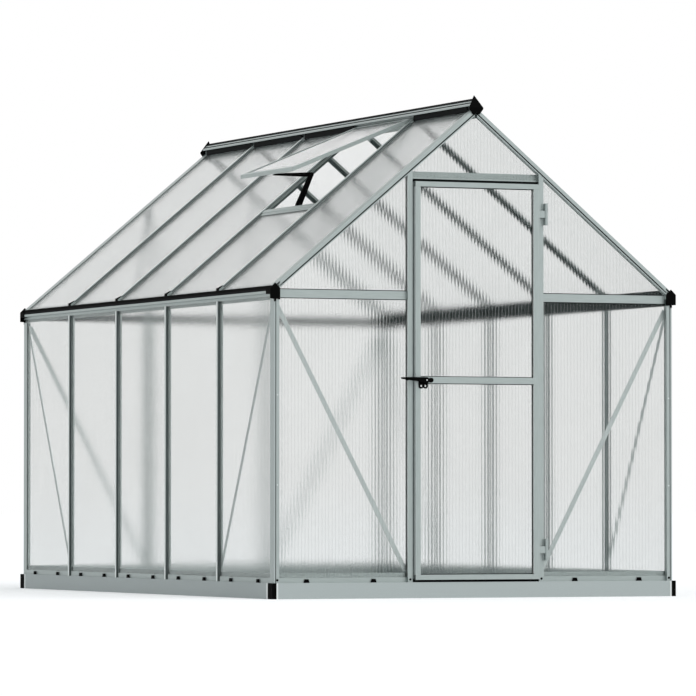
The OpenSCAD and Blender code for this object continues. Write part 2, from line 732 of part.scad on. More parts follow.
// Top sheet of a gable: its foot is at z0, its top is notched round the ridge beam
module gable_top_sheet(x1, z0) {
    x0 = roof_x0 + edge_play;
    notch_z = apex_h - ridge_drop - edge_play;
    along_y(-yg + sheet_0, -yg + sheet_1) polygon(mirrored([[0, notch_z], [x0, notch_z],
        [x0, roof_z(x0, gable_sheet_n)], [x1, roof_z(x1, gable_sheet_n)], [x1, z0]]));
}
module front_wall_panels() {
    color(clear_sheet) both_sides() wall_sheet(jamb_x0 + tube_w + edge_play, corner_x);
}
module front_gable_panels() {
    color(clear_sheet) {
        both_sides() gable_side_sheet(jamb_x0 + tube_w + edge_play);
        gable_top_sheet(jamb_x0 - edge_play, header_z0 + flange_t + seat);
    }
}
module back_wall_panels() {
    color(clear_sheet) mirror([0, 1, 0]) {
        both_sides() wall_sheet(jamb_xm + web_t / 2 + edge_play, corner_x);
        wall_sheet(-jamb_xm + web_t / 2 + edge_play, jamb_xm - web_t / 2 - edge_play);
    }
}
module back_gable_panels() {
    color(clear_sheet) mirror([0, 1, 0]) {
        both_sides() gable_side_sheet(jamb_xm + web_t / 2 + edge_play);
        gable_top_sheet(jamb_xm - web_t / 2 - edge_play, gable_sheet_z0);
    }
}

module roof_sheet(i, x0) {
    roof_layer(x0, xw, sheet_0, sheet_1, roof_sheet_y0(i), roof_sheet_y1(i));
}
module right_roof_panels() { color(clear_sheet) for (i = [0:bays - 1]) roof_sheet(i, roof_x0 + edge_play); }
module left_roof_panels() {
    color(clear_sheet) left() for (i = [0:bays - 1])
        roof_sheet(i, i == vent_bay - 1 ? sill_x1 + seat : roof_x0 + edge_play);
}

// Roof vent, held open by its stay

// Sill bar between the roof bars, with a lap over the short sheet below it
module vent_sill() {
    y0 = bay_y0 + bar_w / 2;
    y1 = bay_y1 - bar_w / 2;
    color(aluminium) left() {
        roof_layer(sill_x0, sill_x1, -vent_sill_h, inner_1, y0, y1);
        roof_layer(sill_x0, sill_x1 + vent_sill_lap, 0, flange_t, y0, y1);
        roof_layer(sill_x0, sill_x1 + vent_sill_lap, inner_0, inner_1, y0, y1);
    }
}
module vent_frame() {
    y0 = vent_ym - vent_half;
    y1 = vent_ym + vent_half;
    color(aluminium) left() {
        difference() {
            union() {
                vent_layer(vent_hx, vent_x1, 0, inner_1, y0, y1);
                vent_layer(vent_x1 - vent_rail_w, vent_x1, 0, vent_rail_d, y0, y1);
                vent_layer(vent_skirt_x, vent_x1, 0, vent_rail_d, y0, y0 + flange_t);
                vent_layer(vent_skirt_x, vent_x1, 0, vent_rail_d, y1 - flange_t, y1);
            }
            vent_layer(vent_hx + vent_rail_w, vent_x1 - vent_rail_w, -cut, inner_1 + cut,
                y0 + vent_rail_w, y1 - vent_rail_w);
            vent_layer(vent_hx + vent_rail_w / 2, vent_x1 - vent_rail_w / 2, sheet_0 - sheet_play, inner_0,
                y0 + vent_rail_w / 2, y1 - vent_rail_w / 2);
        }
    }
}
module vent_panel() {
    in = vent_rail_w / 2 + edge_play;
    color(clear_sheet) left() vent_layer(vent_hx + in, vent_x1 - in, sheet_0, sheet_1,
        vent_ym - vent_half + in, vent_ym + vent_half - in);
}

// Folding stay in the plane of its own two arms: foot on the sill, elbow, tip under the vent's lower rail
module vent_stay() {
    foot = [sill_x0 - seat, roof_z(sill_x0, inner_1 / 2)];
    tip_x = vent_x1 - vent_rail_w / 2;
    tip = [tip_x, vent_z(tip_x, vent_rail_d) - seat - stay_tip_w / 2];
    end = [0, stay_tip_w / 2];
    elbow = [foot[0] - stay_elbow, tip[1]] + end;
    r = stay_w / 2;
    y0 = vent_ym - stay_off - stay_t / 2;
    y1 = y0 + stay_t;
    color(black) left() {
        along_y(y0, y1) translate(elbow) circle(r);
        along_y(y0, y1) polygon([elbow + [0, r], tip + end, tip - end, elbow - [0, r]]);
        along_y(y0, y1) polygon([elbow + [r, 0], foot + [0, stay_w] - end, foot - end,
            foot - [stay_w, 0] - end, elbow - [r, 0]]);
    }
}

// Door

module door_stiles() {
    color(aluminium) both_sides() along_z(door_z0 + door_rail_h + seat, door_z1 - door_rail_h - seat)
        translate([door_w / 2, door_y]) mirror([1, 0]) box_section(stile_w);
}

// Middle rail in depth and height: a raised face, and a slot for a sheet above and below
module mid_rail_section() {
    difference() {
        rect([0, mid_z0], [gable_in + flange_t, mid_z1]);
        rect([flange_t, mid_z0 + flange_t], [gable_in, mid_z1 - flange_t]);
    }
    rect([gable_in + inner_0, mid_z0], [frame_d, mid_z1]);
    rect([gable_in, mid_rail_z - web_t / 2], [frame_d, mid_rail_z + web_t / 2]);
}
// The top and bottom rail run over the ends of the stiles, the middle rail stands between them
module door_rails() {
    color(aluminium) {
        along_x(-door_w / 2, door_w / 2) {
            translate([door_y, door_z0]) mirror([1, -1]) box_section(door_rail_h);
            translate([door_y, door_z1]) mirror([0, 1]) mirror([1, -1]) box_section(door_rail_h);
        }
        along_x(-stile_x, stile_x) translate([door_y, 0]) mid_rail_section();
    }
}
module door_panels() {
    x = door_w / 2 - tube_w - edge_play;
    y0 = door_y + gable_in + sheet_0;
    y1 = y0 + sheet_t;
    edge = tube_w + seat;
    mid = web_t / 2 + seat;
    color(clear_sheet) {
        box([-x, y0, door_z0 + edge], [x, y1, mid_rail_z - mid]);
        box([-x, y0, mid_rail_z + mid], [x, y1, door_z1 - edge]);
    }
}

// Jamb leaf: a plate on the edge of the jamb, two knuckles on their feet and the pin through the barrel
module jamb_hinge_leaves() {
    foot_w = barrel_d * 0.6;
    color(aluminium) for (z = hinge_zs) translate([hinge_x, hinge_y, z - hinge_h / 2]) {
        box([-barrel_d, pin_out - jamb_leaf_t, 0], [barrel_d / 2, pin_out, hinge_h]);
        for (k = [0, 2]) translate([0, 0, k * knuckle_h]) {
            cylinder(d = barrel_d, h = knuckle_h);
            box([-foot_w / 2, 0, 0], [foot_w / 2, pin_out, knuckle_h]);
        }
        cylinder(d = pin_d, h = hinge_h);
    }
}
// Door leaf: a plate on the side of the stile, a strap in front of the jamb and the middle knuckle
module door_hinge_leaves() {
    z0 = knuckle_h + knuckle_play;
    z1 = 2 * knuckle_h - knuckle_play;
    y = hinge_leaf_t / 2;
    edge_x = door_w / 2 - hinge_x;
    color(aluminium) for (z = hinge_zs) translate([hinge_x, hinge_y, z - hinge_h / 2]) difference() {
        union() {
            translate([0, 0, z0]) cylinder(d = barrel_d, h = z1 - z0);
            box([edge_x, -y, z0], [0, y, z1]);
            box([edge_x, -y, 0], [edge_x + hinge_leaf_t, pin_out / 2, hinge_h]);
        }
        translate([0, 0, z0 - cut]) cylinder(d = pin_d + 2 * pin_play, h = z1 - z0 + 2 * cut);
    }
}

// Latch plate on the stile and the middle rail, with two padlock eyes and the lever's pivot
module latch_eyes(d) {
    for (i = [0, 1]) translate([latch_x - i * eye_pitch, latch_z - eye_drop]) circle(d = d);
}
module latch_plate() {
    color(black) {
        along_y(door_y - latch_plate_t, door_y) difference() {
            union() {
                rect([latch_x - eye_pitch - eye_d / 2, latch_z - eye_drop],
                    [latch_x + eye_d / 2, latch_z + hub_r]);
                latch_eyes(eye_d);
            }
            latch_eyes(eye_hole_d);
        }
        along_y(lever_y1 + seat, door_y) translate([latch_x, latch_z]) circle(d = 2 * pivot_d);
        along_y(lever_y0 - flange_t, door_y) translate([latch_x, latch_z]) circle(d = pivot_d);
    }
}
// Lever that turns on the pivot: a bar across stile and jamb, and a round thumb knob on the other side
module latch_lever() {
    neck = lever_h / 4;
    color(black) along_y(lever_y0, lever_y1) translate([latch_x, latch_z]) difference() {
        union() {
            circle(r = hub_r);
            polygon([[0, hub_r], [-lever_len, hub_r], [-lever_len, 0], [-lever_len * 0.75, -neck / 2],
                [-lever_len * 0.45, -neck], [-lever_len * 0.2, -lever_h / 2], [0, -hub_r]]);
            rect([0, -neck], [knob_x, neck]);
            translate([knob_x, 0]) circle(d = knob_d);
        }
        circle(d = pivot_d + 2 * pin_play);
    }
}
// Keeper on the edge of the left jamb, tapered away from it
module latch_keeper() {
    x1 = -jamb_x1;
    color(black) along_y(-yw + flange_t, -yw + flange_t + keeper_t)
        polygon([[x1, latch_z + hub_r], [x1 - keeper_len, latch_z + hub_r],
            [x1 - keeper_len, latch_z + hub_r / 2], [x1 - keeper_len / 3, latch_z + hub_r / 4],
            [x1, latch_z - flange_t]]);
}

base_front_rail();
base_back_rail();
base_left_rail();
base_right_rail();
base_corner_caps();
side_wall_sills();
gable_wall_sills();
panel_foot_clips();
corner_posts();
left_wall_studs();
right_wall_studs();
back_wall_studs();
door_jambs();
door_header();
front_cross_rails();
back_cross_rails();
side_wall_braces();
gable_wall_braces();
left_eave_beam();
right_eave_beam();
eave_strips();
eave_end_caps();
ridge_beam();
ridge_end_caps();
front_gable_rafters();
back_gable_rafters();
left_roof_bars();
right_roof_bars();
roof_bar_clips();
left_wall_panels();
right_wall_panels();
front_wall_panels();
back_wall_panels();
front_gable_panels();
back_gable_panels();
left_roof_panels();
right_roof_panels();
vent_sill();
vent_frame();
vent_panel();
vent_stay();
door_stiles();
door_rails();
door_panels();
jamb_hinge_leaves();
door_hinge_leaves();
latch_plate();
latch_lever();
latch_keeper();
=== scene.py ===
# %% [markdown]
# # A polycarbonate greenhouse, dressed for its portrait
# The frame of this greenhouse is already exact: every aluminium section, hinge and cap comes from the CAD
# model. This lesson loads that frame and gives each section its finish. It builds what the CAD model only
# has as plain slabs, the twin-wall sheets with their ribs. It adds the thin trim, beads, seals, strips and
# screws, and thin strips of painted shade and painted highlight. Everything is in metres, with X to the
# right, Y to the back and Z up.

# %% Load the frame
import math
import bpy
import numpy as np
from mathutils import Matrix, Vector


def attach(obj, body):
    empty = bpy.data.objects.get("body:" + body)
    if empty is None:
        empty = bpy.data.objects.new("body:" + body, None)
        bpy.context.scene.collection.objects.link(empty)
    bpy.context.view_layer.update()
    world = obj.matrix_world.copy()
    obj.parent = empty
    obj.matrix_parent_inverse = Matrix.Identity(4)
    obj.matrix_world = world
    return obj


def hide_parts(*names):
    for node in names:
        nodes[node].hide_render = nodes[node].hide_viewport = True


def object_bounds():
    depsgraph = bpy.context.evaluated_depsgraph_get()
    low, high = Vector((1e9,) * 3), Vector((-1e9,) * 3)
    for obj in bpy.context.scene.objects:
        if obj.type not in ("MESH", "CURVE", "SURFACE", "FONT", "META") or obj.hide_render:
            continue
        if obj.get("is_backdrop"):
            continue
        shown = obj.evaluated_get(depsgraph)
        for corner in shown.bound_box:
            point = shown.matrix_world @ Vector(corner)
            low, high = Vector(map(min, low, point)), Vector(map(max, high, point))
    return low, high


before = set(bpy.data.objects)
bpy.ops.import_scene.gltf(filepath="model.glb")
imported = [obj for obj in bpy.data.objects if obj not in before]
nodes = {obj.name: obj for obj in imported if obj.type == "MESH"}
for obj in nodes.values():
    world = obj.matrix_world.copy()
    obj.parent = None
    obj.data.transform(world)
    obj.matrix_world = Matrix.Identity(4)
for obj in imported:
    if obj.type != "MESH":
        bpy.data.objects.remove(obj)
scene = bpy.context.scene
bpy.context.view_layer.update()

# %% [markdown]
# ## The camera
# The picture was taken from far away with a long lens, low over the ground, so that upright lines stay
# upright. A camera can be placed by eye, with many tries. Here position, turn and lens were fitted to the
# corners of the base, the posts and the ridge, so that every line of the house falls where it should.
# Blender's camera looks down its own -Z. A quarter turn about X points it along +Y before it turns about Z.

# %% Camera
LOOK_UP, LOOK_RIGHT = 1.71927, 23.34589

camera = bpy.data.cameras.new("portrait_camera")
camera.lens = 267.378
camera.sensor_width = 36.0
camera.clip_start, camera.clip_end = 0.1, 400.0
camera_object = bpy.data.objects.new("portrait_camera", camera)
camera_object.location = (-9.03337, -21.09326, 0.39378)
camera_object.rotation_euler = (math.radians(90 + LOOK_UP), 0.0, -math.radians(LOOK_RIGHT))
scene.collection.objects.link(camera_object)
scene.camera = camera_object
print("camera lens", round(camera.lens, 1), "mm")

# %% [markdown]
# ## Helpers for shader nodes
# Every finish in this lesson is a tree of shader nodes. Such a tree can be wired by hand in the shader
# editor, but written down it can be read, changed and built again. One helper empties the tree of a
# material or world, the other adds a node to it and sets its sockets.

# %% Node helpers
def node_tree(owner):
    """The node tree of a material or world, emptied."""
    owner.use_nodes = True
    owner.node_tree.nodes.clear()
    return owner.node_tree

def add(tree, kind, **values):
    """A new node of that kind. Values go to its sockets by name, or to its own settings."""
    node = tree.nodes.new(kind)
    for key, value in values.items():
        if key in node.inputs:
            node.inputs[key].default_value = value
        else:
            setattr(node, key, value)
    return node

print("node helpers: node_tree, add")

# %% [markdown]
# ## Rays that reach the eye
# A studio should look white and yet not light the house too much. Two scenes, laid over each other, could
# do that. Blender's Light Path node does it in one: it tells the rays that end in the eye from those that
# only carry light. The helpers take the larger of two such values and mix two shaders by the result.

# %% Light path helpers
def larger(tree, first, second):
    """A socket with the larger of two values."""
    node = add(tree, "ShaderNodeMath", operation="MAXIMUM")
    tree.links.new(first, node.inputs[0])
    tree.links.new(second, node.inputs[1])
    return node.outputs[0]

def mixed(tree, factor, first, second):
    """The first shader where the factor is 0, the second where it is 1."""
    node = add(tree, "ShaderNodeMixShader")
    tree.links.new(factor, node.inputs[0])
    tree.links.new(first, node.inputs[1])
    tree.links.new(second, node.inputs[2])
    return node.outputs[0]

def seen_by_eye(tree):
    """A socket that is 1 for rays from the camera, from a mirror and through glass, and 0 for the rest."""
    path = add(tree, "ShaderNodeLightPath")
    direct = larger(tree, path.outputs["Is Camera Ray"], path.outputs["Is Glossy Ray"])
    return larger(tree, direct, path.outputs["Is Transmission Ray"])

print("light path helpers: larger, mixed, seen_by_eye")

# %% [markdown]
# ## The studio's walls
# The house stands in a white studio. A plain white world would do for the background, but it would also
# light the house from all sides and wash it out. So the world is white only for the rays that see it,
# directly, in a mirror or through a sheet, and a calmer, slightly cool grey for the light that it gives.

# %% World
world = bpy.data.worlds.new("white_studio")
scene.world = world
tree = node_tree(world)
soft = add(tree, "ShaderNodeBackground", Color=(0.93, 0.97, 1.0, 1.0), Strength=0.62)
white = add(tree, "ShaderNodeBackground", Color=(1.0, 1.0, 1.0, 1.0), Strength=1.0)
shown = mixed(tree, seen_by_eye(tree), soft.outputs[0], white.outputs[0])
tree.links.new(shown, add(tree, "ShaderNodeOutputWorld").inputs[0])
print("world:", world.name)

# %% [markdown]
# ## The floor
# The floor has to be white to the camera and still take a soft shadow. A glowing sheet is white but
# swallows the shadow, and white paint alone comes out grey. This floor is both: paint that is lit like
# anything else, and a little light of its own that lifts it to white for the rays that see it.

# %% Floor
FLOOR_LIFT = 0.27
FLOOR_REACH = 150.0

floor_material = bpy.data.materials.new("studio_floor")
tree = node_tree(floor_material)
paint = add(tree, "ShaderNodeBsdfDiffuse", Color=(0.82, 0.82, 0.82, 1.0))
glow = add(tree, "ShaderNodeEmission", Color=(1.0, 1.0, 1.0, 1.0))
lift = add(tree, "ShaderNodeMath", operation="MULTIPLY")
lift.inputs[1].default_value = FLOOR_LIFT
tree.links.new(seen_by_eye(tree), lift.inputs[0])
tree.links.new(lift.outputs[0], glow.inputs["Strength"])
both = add(tree, "ShaderNodeAddShader")
tree.links.new(paint.outputs[0], both.inputs[0])
tree.links.new(glow.outputs[0], both.inputs[1])
tree.links.new(both.outputs[0], add(tree, "ShaderNodeOutputMaterial").inputs[0])

floor_mesh = bpy.data.meshes.new("studio_floor")
floor_corners = [(x * FLOOR_REACH, y * FLOOR_REACH, 0) for x, y in ((-1, -1), (1, -1), (1, 1), (-1, 1))]
floor_mesh.from_pydata(floor_corners, [], [(0, 1, 2, 3)])
floor_mesh.materials.append(floor_material)
floor = bpy.data.objects.new("studio_floor", floor_mesh)
scene.collection.objects.link(floor)
floor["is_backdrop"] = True
print("floor", 2 * FLOOR_REACH, "m wide")

# %% [markdown]
# ## The light
# The light comes from the front right and from high up, and its shadow has no edge, as from a large window.
# An area lamp gives such light too, but it fades along a house that is three metres long. A sun lamp with a
# wide angle lights both ends alike. Turn goes round the house from the front towards the right, in degrees.

# %% Sun
SUN_TURN, SUN_HEIGHT, SUN_WIDTH = 35, 45, 50

sun = bpy.data.lights.new("key_light", "SUN")
sun.energy = 1.5
sun.angle = math.radians(SUN_WIDTH)
sun_object = bpy.data.objects.new("key_light", sun)
sun_object.rotation_euler = (math.radians(90 - SUN_HEIGHT), 0.0, math.radians(SUN_TURN))
scene.collection.objects.link(sun_object)
scene.view_settings.view_transform = "Standard"
print("sun", SUN_HEIGHT, "degrees high and", SUN_WIDTH, "degrees wide")

# %% [markdown]
# ## A finish with a grain
# Metal, plastic and rubber are never one flat colour: they have die lines, flecks or a moulded grain. A
# picture of the surface could be wrapped round each piece, but a noise needs no picture and no unwrapping.
# One noise on Object coordinates gives both a change between two close tones and a slight bump, and a
# stretch draws it out into lines. Scale is about the number of grains in a metre.

# %% Finish builder
EVEN, UPRIGHT = (1.0, 1.0, 1.0), (1.0, 1.0, 0.1)
DARK_END, LIGHT_END = 0.3, 0.7

def stretched_noise(tree, stretch, scale, detail=3.0):
    """Noise on Object coordinates, drawn out along the axes where stretch is small."""
    place = add(tree, "ShaderNodeTexCoord")
    mapping = add(tree, "ShaderNodeMapping", Scale=stretch)
    noise = add(tree, "ShaderNodeTexNoise", Scale=scale, Detail=detail)
    tree.links.new(place.outputs["Object"], mapping.inputs["Vector"])
    tree.links.new(mapping.outputs["Vector"], noise.inputs["Vector"])
    return noise.outputs["Fac"]

def two_tones(tree, factor, dark, light):
    """A colour that goes in a straight line from dark at the factor's dark end to light at its light end."""
    ramp = add(tree, "ShaderNodeValToRGB")
    for stop, place, tone in zip(ramp.color_ramp.elements, (DARK_END, LIGHT_END), (dark, light)):
        stop.position = place
        stop.color = (*tone, 1.0)
    tree.links.new(factor, ramp.inputs["Fac"])
    return ramp.outputs["Color"]

def finish(name, dark, light, scale, roughness, bump, metallic=0.0, gloss=0.5, stretch=EVEN, depth=0.0002):
    """A surface whose tone goes from dark to light, and whose height goes from 0 to depth, with one noise."""
    material = bpy.data.materials.new(name)
    tree = node_tree(material)
    surface = add(tree, "ShaderNodeBsdfPrincipled", Metallic=metallic, Roughness=roughness)
    surface.inputs["Specular IOR Level"].default_value = gloss
    pattern = stretched_noise(tree, stretch, scale)
    tree.links.new(two_tones(tree, pattern, dark, light), surface.inputs["Base Color"])
    relief = add(tree, "ShaderNodeBump", Strength=bump, Distance=depth)
    tree.links.new(pattern, relief.inputs["Height"])
    tree.links.new(relief.outputs["Normal"], surface.inputs["Normal"])
    tree.links.new(surface.outputs[0], add(tree, "ShaderNodeOutputMaterial").inputs[0])
    return material

print("finish builder: two tones and a bump from one noise")

# %% [markdown]
# ## Anodised aluminium
# Studs, rails and bars are extruded through a die and anodised to a grey with a breath of green. The die
# leaves faint lines along the run of the section. One material could turn its lines to suit each piece, but
# every piece would then need coordinates of its own. A noise that is stretched along X, Y or Z does it with
# three materials.

# %% Anodised aluminium
DIE_LINES = 0.02

def anodised(run):
    """Anodised aluminium with die lines along X, Y or Z, where the noise is stretched."""
    stretch = tuple(DIE_LINES if axis == run else 1.0 for axis in "XYZ")
    return finish("anodised_along_" + run.lower(), (0.32, 0.365, 0.355), (0.40, 0.45, 0.44), 900.0,
                  roughness=0.42, bump=0.12, metallic=0.6, stretch=stretch)

alloy_x, alloy_y, alloy_z = [anodised(run) for run in "XYZ"]
print("alloys:", alloy_x.name, alloy_y.name, alloy_z.name)

# %% [markdown]
# ## Coated steel, bright alloy and black plastic
# The base is folded from coated steel, the diagonal braces are strips of brighter alloy, and caps, clips
# and the latch are moulded in black plastic with a fine, dull grain. They could share the aluminium's
# material with other colours, but none of them has a run, so their noise is even in all directions.

# %% Steel, bright alloy and plastic
coated_steel = finish("coated_steel", (0.37, 0.415, 0.41), (0.42, 0.465, 0.46), 260.0,
                      roughness=0.5, bump=0.08, metallic=0.15)
bright_alloy = finish("bright_alloy", (0.52, 0.565, 0.555), (0.60, 0.645, 0.635), 300.0,
                      roughness=0.4, bump=0.08, metallic=0.3)
black_plastic = finish("black_plastic", (0.0008, 0.0008, 0.0008), (0.0025, 0.0025, 0.0025), 1400.0,
                       roughness=0.7, bump=0.25, gloss=0.03)
print("finishes:", coated_steel.name, bright_alloy.name, black_plastic.name)

# %% [markdown]
# ## Finishing the CAD sections
# A CAD section keeps its exact shape and only takes a finish. Each section could be given its material one
# by one. A list of sections for each finish is easier to read, and it shows at a glance which way a section
# runs.

# %% Finish the sections
finishes = {
    coated_steel: ["base_front_rail", "base_back_rail", "base_left_rail", "base_right_rail"],
    black_plastic: ["base_corner_caps", "panel_foot_clips", "eave_strips", "eave_end_caps", "ridge_end_caps",
                    "roof_bar_clips", "vent_stay", "latch_plate", "latch_lever", "latch_keeper"],
    alloy_x: ["gable_wall_sills", "door_header", "door_rails", "front_cross_rails", "back_cross_rails",
              "front_gable_rafters", "back_gable_rafters", "left_roof_bars", "right_roof_bars"],
    alloy_y: ["side_wall_sills", "left_eave_beam", "right_eave_beam", "ridge_beam", "vent_sill",
              "vent_frame"],
    bright_alloy: ["side_wall_braces", "gable_wall_braces"],
    alloy_z: ["corner_posts", "left_wall_studs", "right_wall_studs", "back_wall_studs", "door_jambs",
              "door_stiles", "jamb_hinge_leaves", "door_hinge_leaves"],
}
for material, names in finishes.items():
    for name in names:
        nodes[name].data.materials.clear()
        nodes[name].data.materials.append(material)
print("finished", sum(map(len, finishes.values())), "CAD nodes with", len(finishes), "materials")

# %% [markdown]
# ## The skins of a sheet
# A twin-wall sheet has two thin skins of clear polycarbonate, slightly hazy. Rough glass makes haze too,
# but it is slow to render and comes out mottled. So the skin is smooth glass with a fine grain in its bump,
# which blurs what is far behind it more than what is near. The glass bends light less than real
# polycarbonate does, because the roof, which is seen at a low angle, came out too dark with more. For the
# same reason the grain is deepest on the end walls and the door, and least deep on the roof. To light on
# its way to a lamp, and to light that bounces off a dull surface, the skin is a plain pale filter, so that
# the inside of the house is lit as in daylight.

# %% Skins
SKIN_INDEX = 1.05
CLOUD_SCALE, GRAIN_SCALE = 3.0, 1500.0

def skin_material(name, grain_depth):
    """Clear polycarbonate: glass with a fine grain to the eye, a pale filter to rays that carry light."""
    material = bpy.data.materials.new(name)
    tree = node_tree(material)
    glass = add(tree, "ShaderNodeBsdfPrincipled", Roughness=0.0, IOR=SKIN_INDEX)
    glass.inputs["Transmission Weight"].default_value = 1.0
    cloud = stretched_noise(tree, EVEN, CLOUD_SCALE)
    tint = two_tones(tree, cloud, (0.922, 0.926, 0.924), (0.932, 0.936, 0.934))
    tree.links.new(tint, glass.inputs["Base Color"])
    grain = add(tree, "ShaderNodeBump", Strength=1.0, Distance=grain_depth)
    tree.links.new(stretched_noise(tree, EVEN, GRAIN_SCALE, 0.0), grain.inputs["Height"])
    tree.links.new(grain.outputs["Normal"], glass.inputs["Normal"])
    through = add(tree, "ShaderNodeBsdfTransparent", Color=(0.95, 0.955, 0.953, 1.0))
    path = add(tree, "ShaderNodeLightPath")
    carries_light = larger(tree, path.outputs["Is Shadow Ray"], path.outputs["Is Diffuse Ray"])
    skin = mixed(tree, carries_light, glass.outputs[0], through.outputs[0])
    tree.links.new(skin, add(tree, "ShaderNodeOutputMaterial").inputs[0])
    return material

gable_skin = skin_material("gable_skin", 0.00013)
side_skin = skin_material("side_skin", 0.00006)
roof_skin = skin_material("roof_skin", 0.00003)
scene.cycles.max_bounces = 24
scene.cycles.transmission_bounces = 24
scene.cycles.transparent_max_bounces = 64
print("skins:", gable_skin.name, side_skin.name, roof_skin.name)

# %% [markdown]
# ## The ribs of a sheet
# Thin ribs hold the two skins apart. They are milky: in front of something bright they vanish, in front of
# something dark they show as pale lines. They could be glass like the skins, which would mean many more
# bends for each ray. A white surface that is mostly see-through is quicker and shows the same pale lines.

# %% Ribs
STREAK_SCALE = 60.0

rib = bpy.data.materials.new("polycarbonate_rib")
tree = node_tree(rib)
milk = add(tree, "ShaderNodeBsdfPrincipled", Roughness=0.4, Alpha=0.08)
streaks = stretched_noise(tree, UPRIGHT, STREAK_SCALE)
tint = two_tones(tree, streaks, (0.95, 0.965, 0.96), (0.98, 0.99, 0.985))
tree.links.new(tint, milk.inputs["Base Color"])
tree.links.new(milk.outputs[0], add(tree, "ShaderNodeOutputMaterial").inputs[0])
print("ribs:", rib.name)

# %% [markdown]
# ## Faces for rings of points
# Most pieces here are a ring of points carried along a path. Blender's own tools can extrude such a ring,
# but whole arrays are quicker for hundreds of ribs, and the shape can be read from its formula. These
# helpers number the faces: between neighbouring rings, for many copies of one piece, and for several parts
# in one mesh.

# %% Face helpers
def grid_quads(rings, count):
    """Quads between each ring of count points and the next one. The last point of a ring meets the first."""
    ring = np.arange(rings - 1)[:, None] * count
    point = np.arange(count)[None, :]
    after = (point + 1) % count
    quads = [ring + point, ring + after, ring + count + after, ring + count + point]
    return np.stack(quads, -1).reshape(-1, 4)

def repeated(faces, points_each, copies):
    """The faces of one piece again for each copy: copy n counts on by n times the points of a piece."""
    return faces[None] + points_each * np.arange(copies)[:, None, None]

def joined(parts):
    """One array of points and one of faces from several parts, each counting on from the parts before it."""
    start = np.cumsum([0] + [len(points) for points, faces in parts])
    points = np.concatenate([points for points, faces in parts])
    return points, np.concatenate([faces + s for (_, faces), s in zip(parts, start)])

print("face helpers: two rings of four points give", len(grid_quads(2, 4)), "quads")

# %% [markdown]
# ## From arrays to a mesh
# A mesh needs its faces to point outwards, or glass bends light the wrong way. Blender can recalculate
# normals, but the sign of the enclosed volume tells it at once. The object stays at the origin, with its
# place in its points, as the CAD nodes have it.

# %% Mesh helpers
def outward(points, faces):
    """The faces, turned round if their volume, a sum of a . (b x c) over triangles, is negative."""
    a, b, c, d = (points[faces[:, k]] for k in range(4))
    volume = np.einsum("ij,ij->", a, np.cross(b, c)) + np.einsum("ij,ij->", a, np.cross(c, d))
    return faces if volume > 0 else faces[:, ::-1]

def mesh_piece(name, points, faces, materials):
    """A mesh object at the origin from whole arrays of points and quads."""
    mesh = bpy.data.meshes.new(name)
    mesh.from_pydata(points, [], faces.tolist())
    for material in materials:
        mesh.materials.append(material)
    mesh.update()
    piece = bpy.data.objects.new(name, mesh)
    scene.collection.objects.link(piece)
    return piece

print("mesh helpers: outward, mesh_piece")

# %% [markdown]
# ## The shape of a skin
# A skin is a thin sheet of even width, cut off by two edges that may slope. A flat box could be cut to
# shape. Here a ring of four corners is carried across the sheet, and each ring has its own edges and
# depths, so that sloping cuts and waves come by themselves.

# %% Skin
def skin_part(a, low, high, outer, inner):
    """Closed skin: at each place a across the sheet, a ring of four corners from low to high and back."""
    ring = np.stack([np.stack([a, low, outer], -1), np.stack([a, high, outer], -1),
                     np.stack([a, high, inner], -1), np.stack([a, low, inner], -1)], 1)
    last = 4 * (len(a) - 1)
    caps = np.array([[3, 2, 1, 0], [last, last + 1, last + 2, last + 3]])
    return ring.reshape(-1, 3), np.concatenate([grid_quads(len(a), 4), caps])

print("a skin has 4 points at each place across")

# %% [markdown]
# ## The shape of a rib
# A rib comes out of the die with the sheet, so it is thin in its waist and widens to a foot at each skin. A
# plain bar would meet the skins in hard corners. The waisted profile is a parabola on each side, carried
# along the flute from edge to edge, and all ribs of a sheet are filled in at once.

# %% Rib
WAIST, FOOT = 0.0008, 0.0022
RIB_LEVELS = 5

def rib_part(r, low, high, outer, inner):
    """Closed ribs: at depth s from 0 to 1 the width is waist + (foot - waist) * (2s - 1) squared."""
    s = np.linspace(0.0, 1.0, RIB_LEVELS)
    half = (WAIST + (FOOT - WAIST) * (2 * s - 1) ** 2) / 2
    depth = outer + (inner - outer) * s
    across = r[:, None] + np.concatenate([-half, half[::-1]])
    depth = np.concatenate([depth, depth[::-1]])
    ends = np.stack([low, high], 1)
    points = np.stack(np.broadcast_arrays(across[:, None, :], ends[:, :, None], depth), -1)
    count = 2 * RIB_LEVELS
    j = np.arange(RIB_LEVELS - 1)
    foot_cap = np.stack([j, count - 1 - j, count - 2 - j, j + 1], -1)
    one = np.concatenate([grid_quads(2, count), foot_cap, foot_cap[:, ::-1] + count])
    return points.reshape(-1, 3), repeated(one, 2 * count, len(r)).reshape(-1, 4)

print("a rib has", 4 * RIB_LEVELS, "points")

# %% [markdown]
# ## One sheet
# A sheet is described by its places across the flutes, the two edges that cut the flutes off there, and the
# depth of its two faces. Flat skins would do for a plain window. Real skins sag a little between the ribs
# and shift what is behind them sideways, which breaks a dark bar into teeth. So the outer face of each skin
# has a wave, deepest midway between two ribs.

# %% One sheet
SKIN, SAG = 0.0012, 0.0005
PITCH, STEPS = 0.0152, 8
RIB_GAP = 0.00005

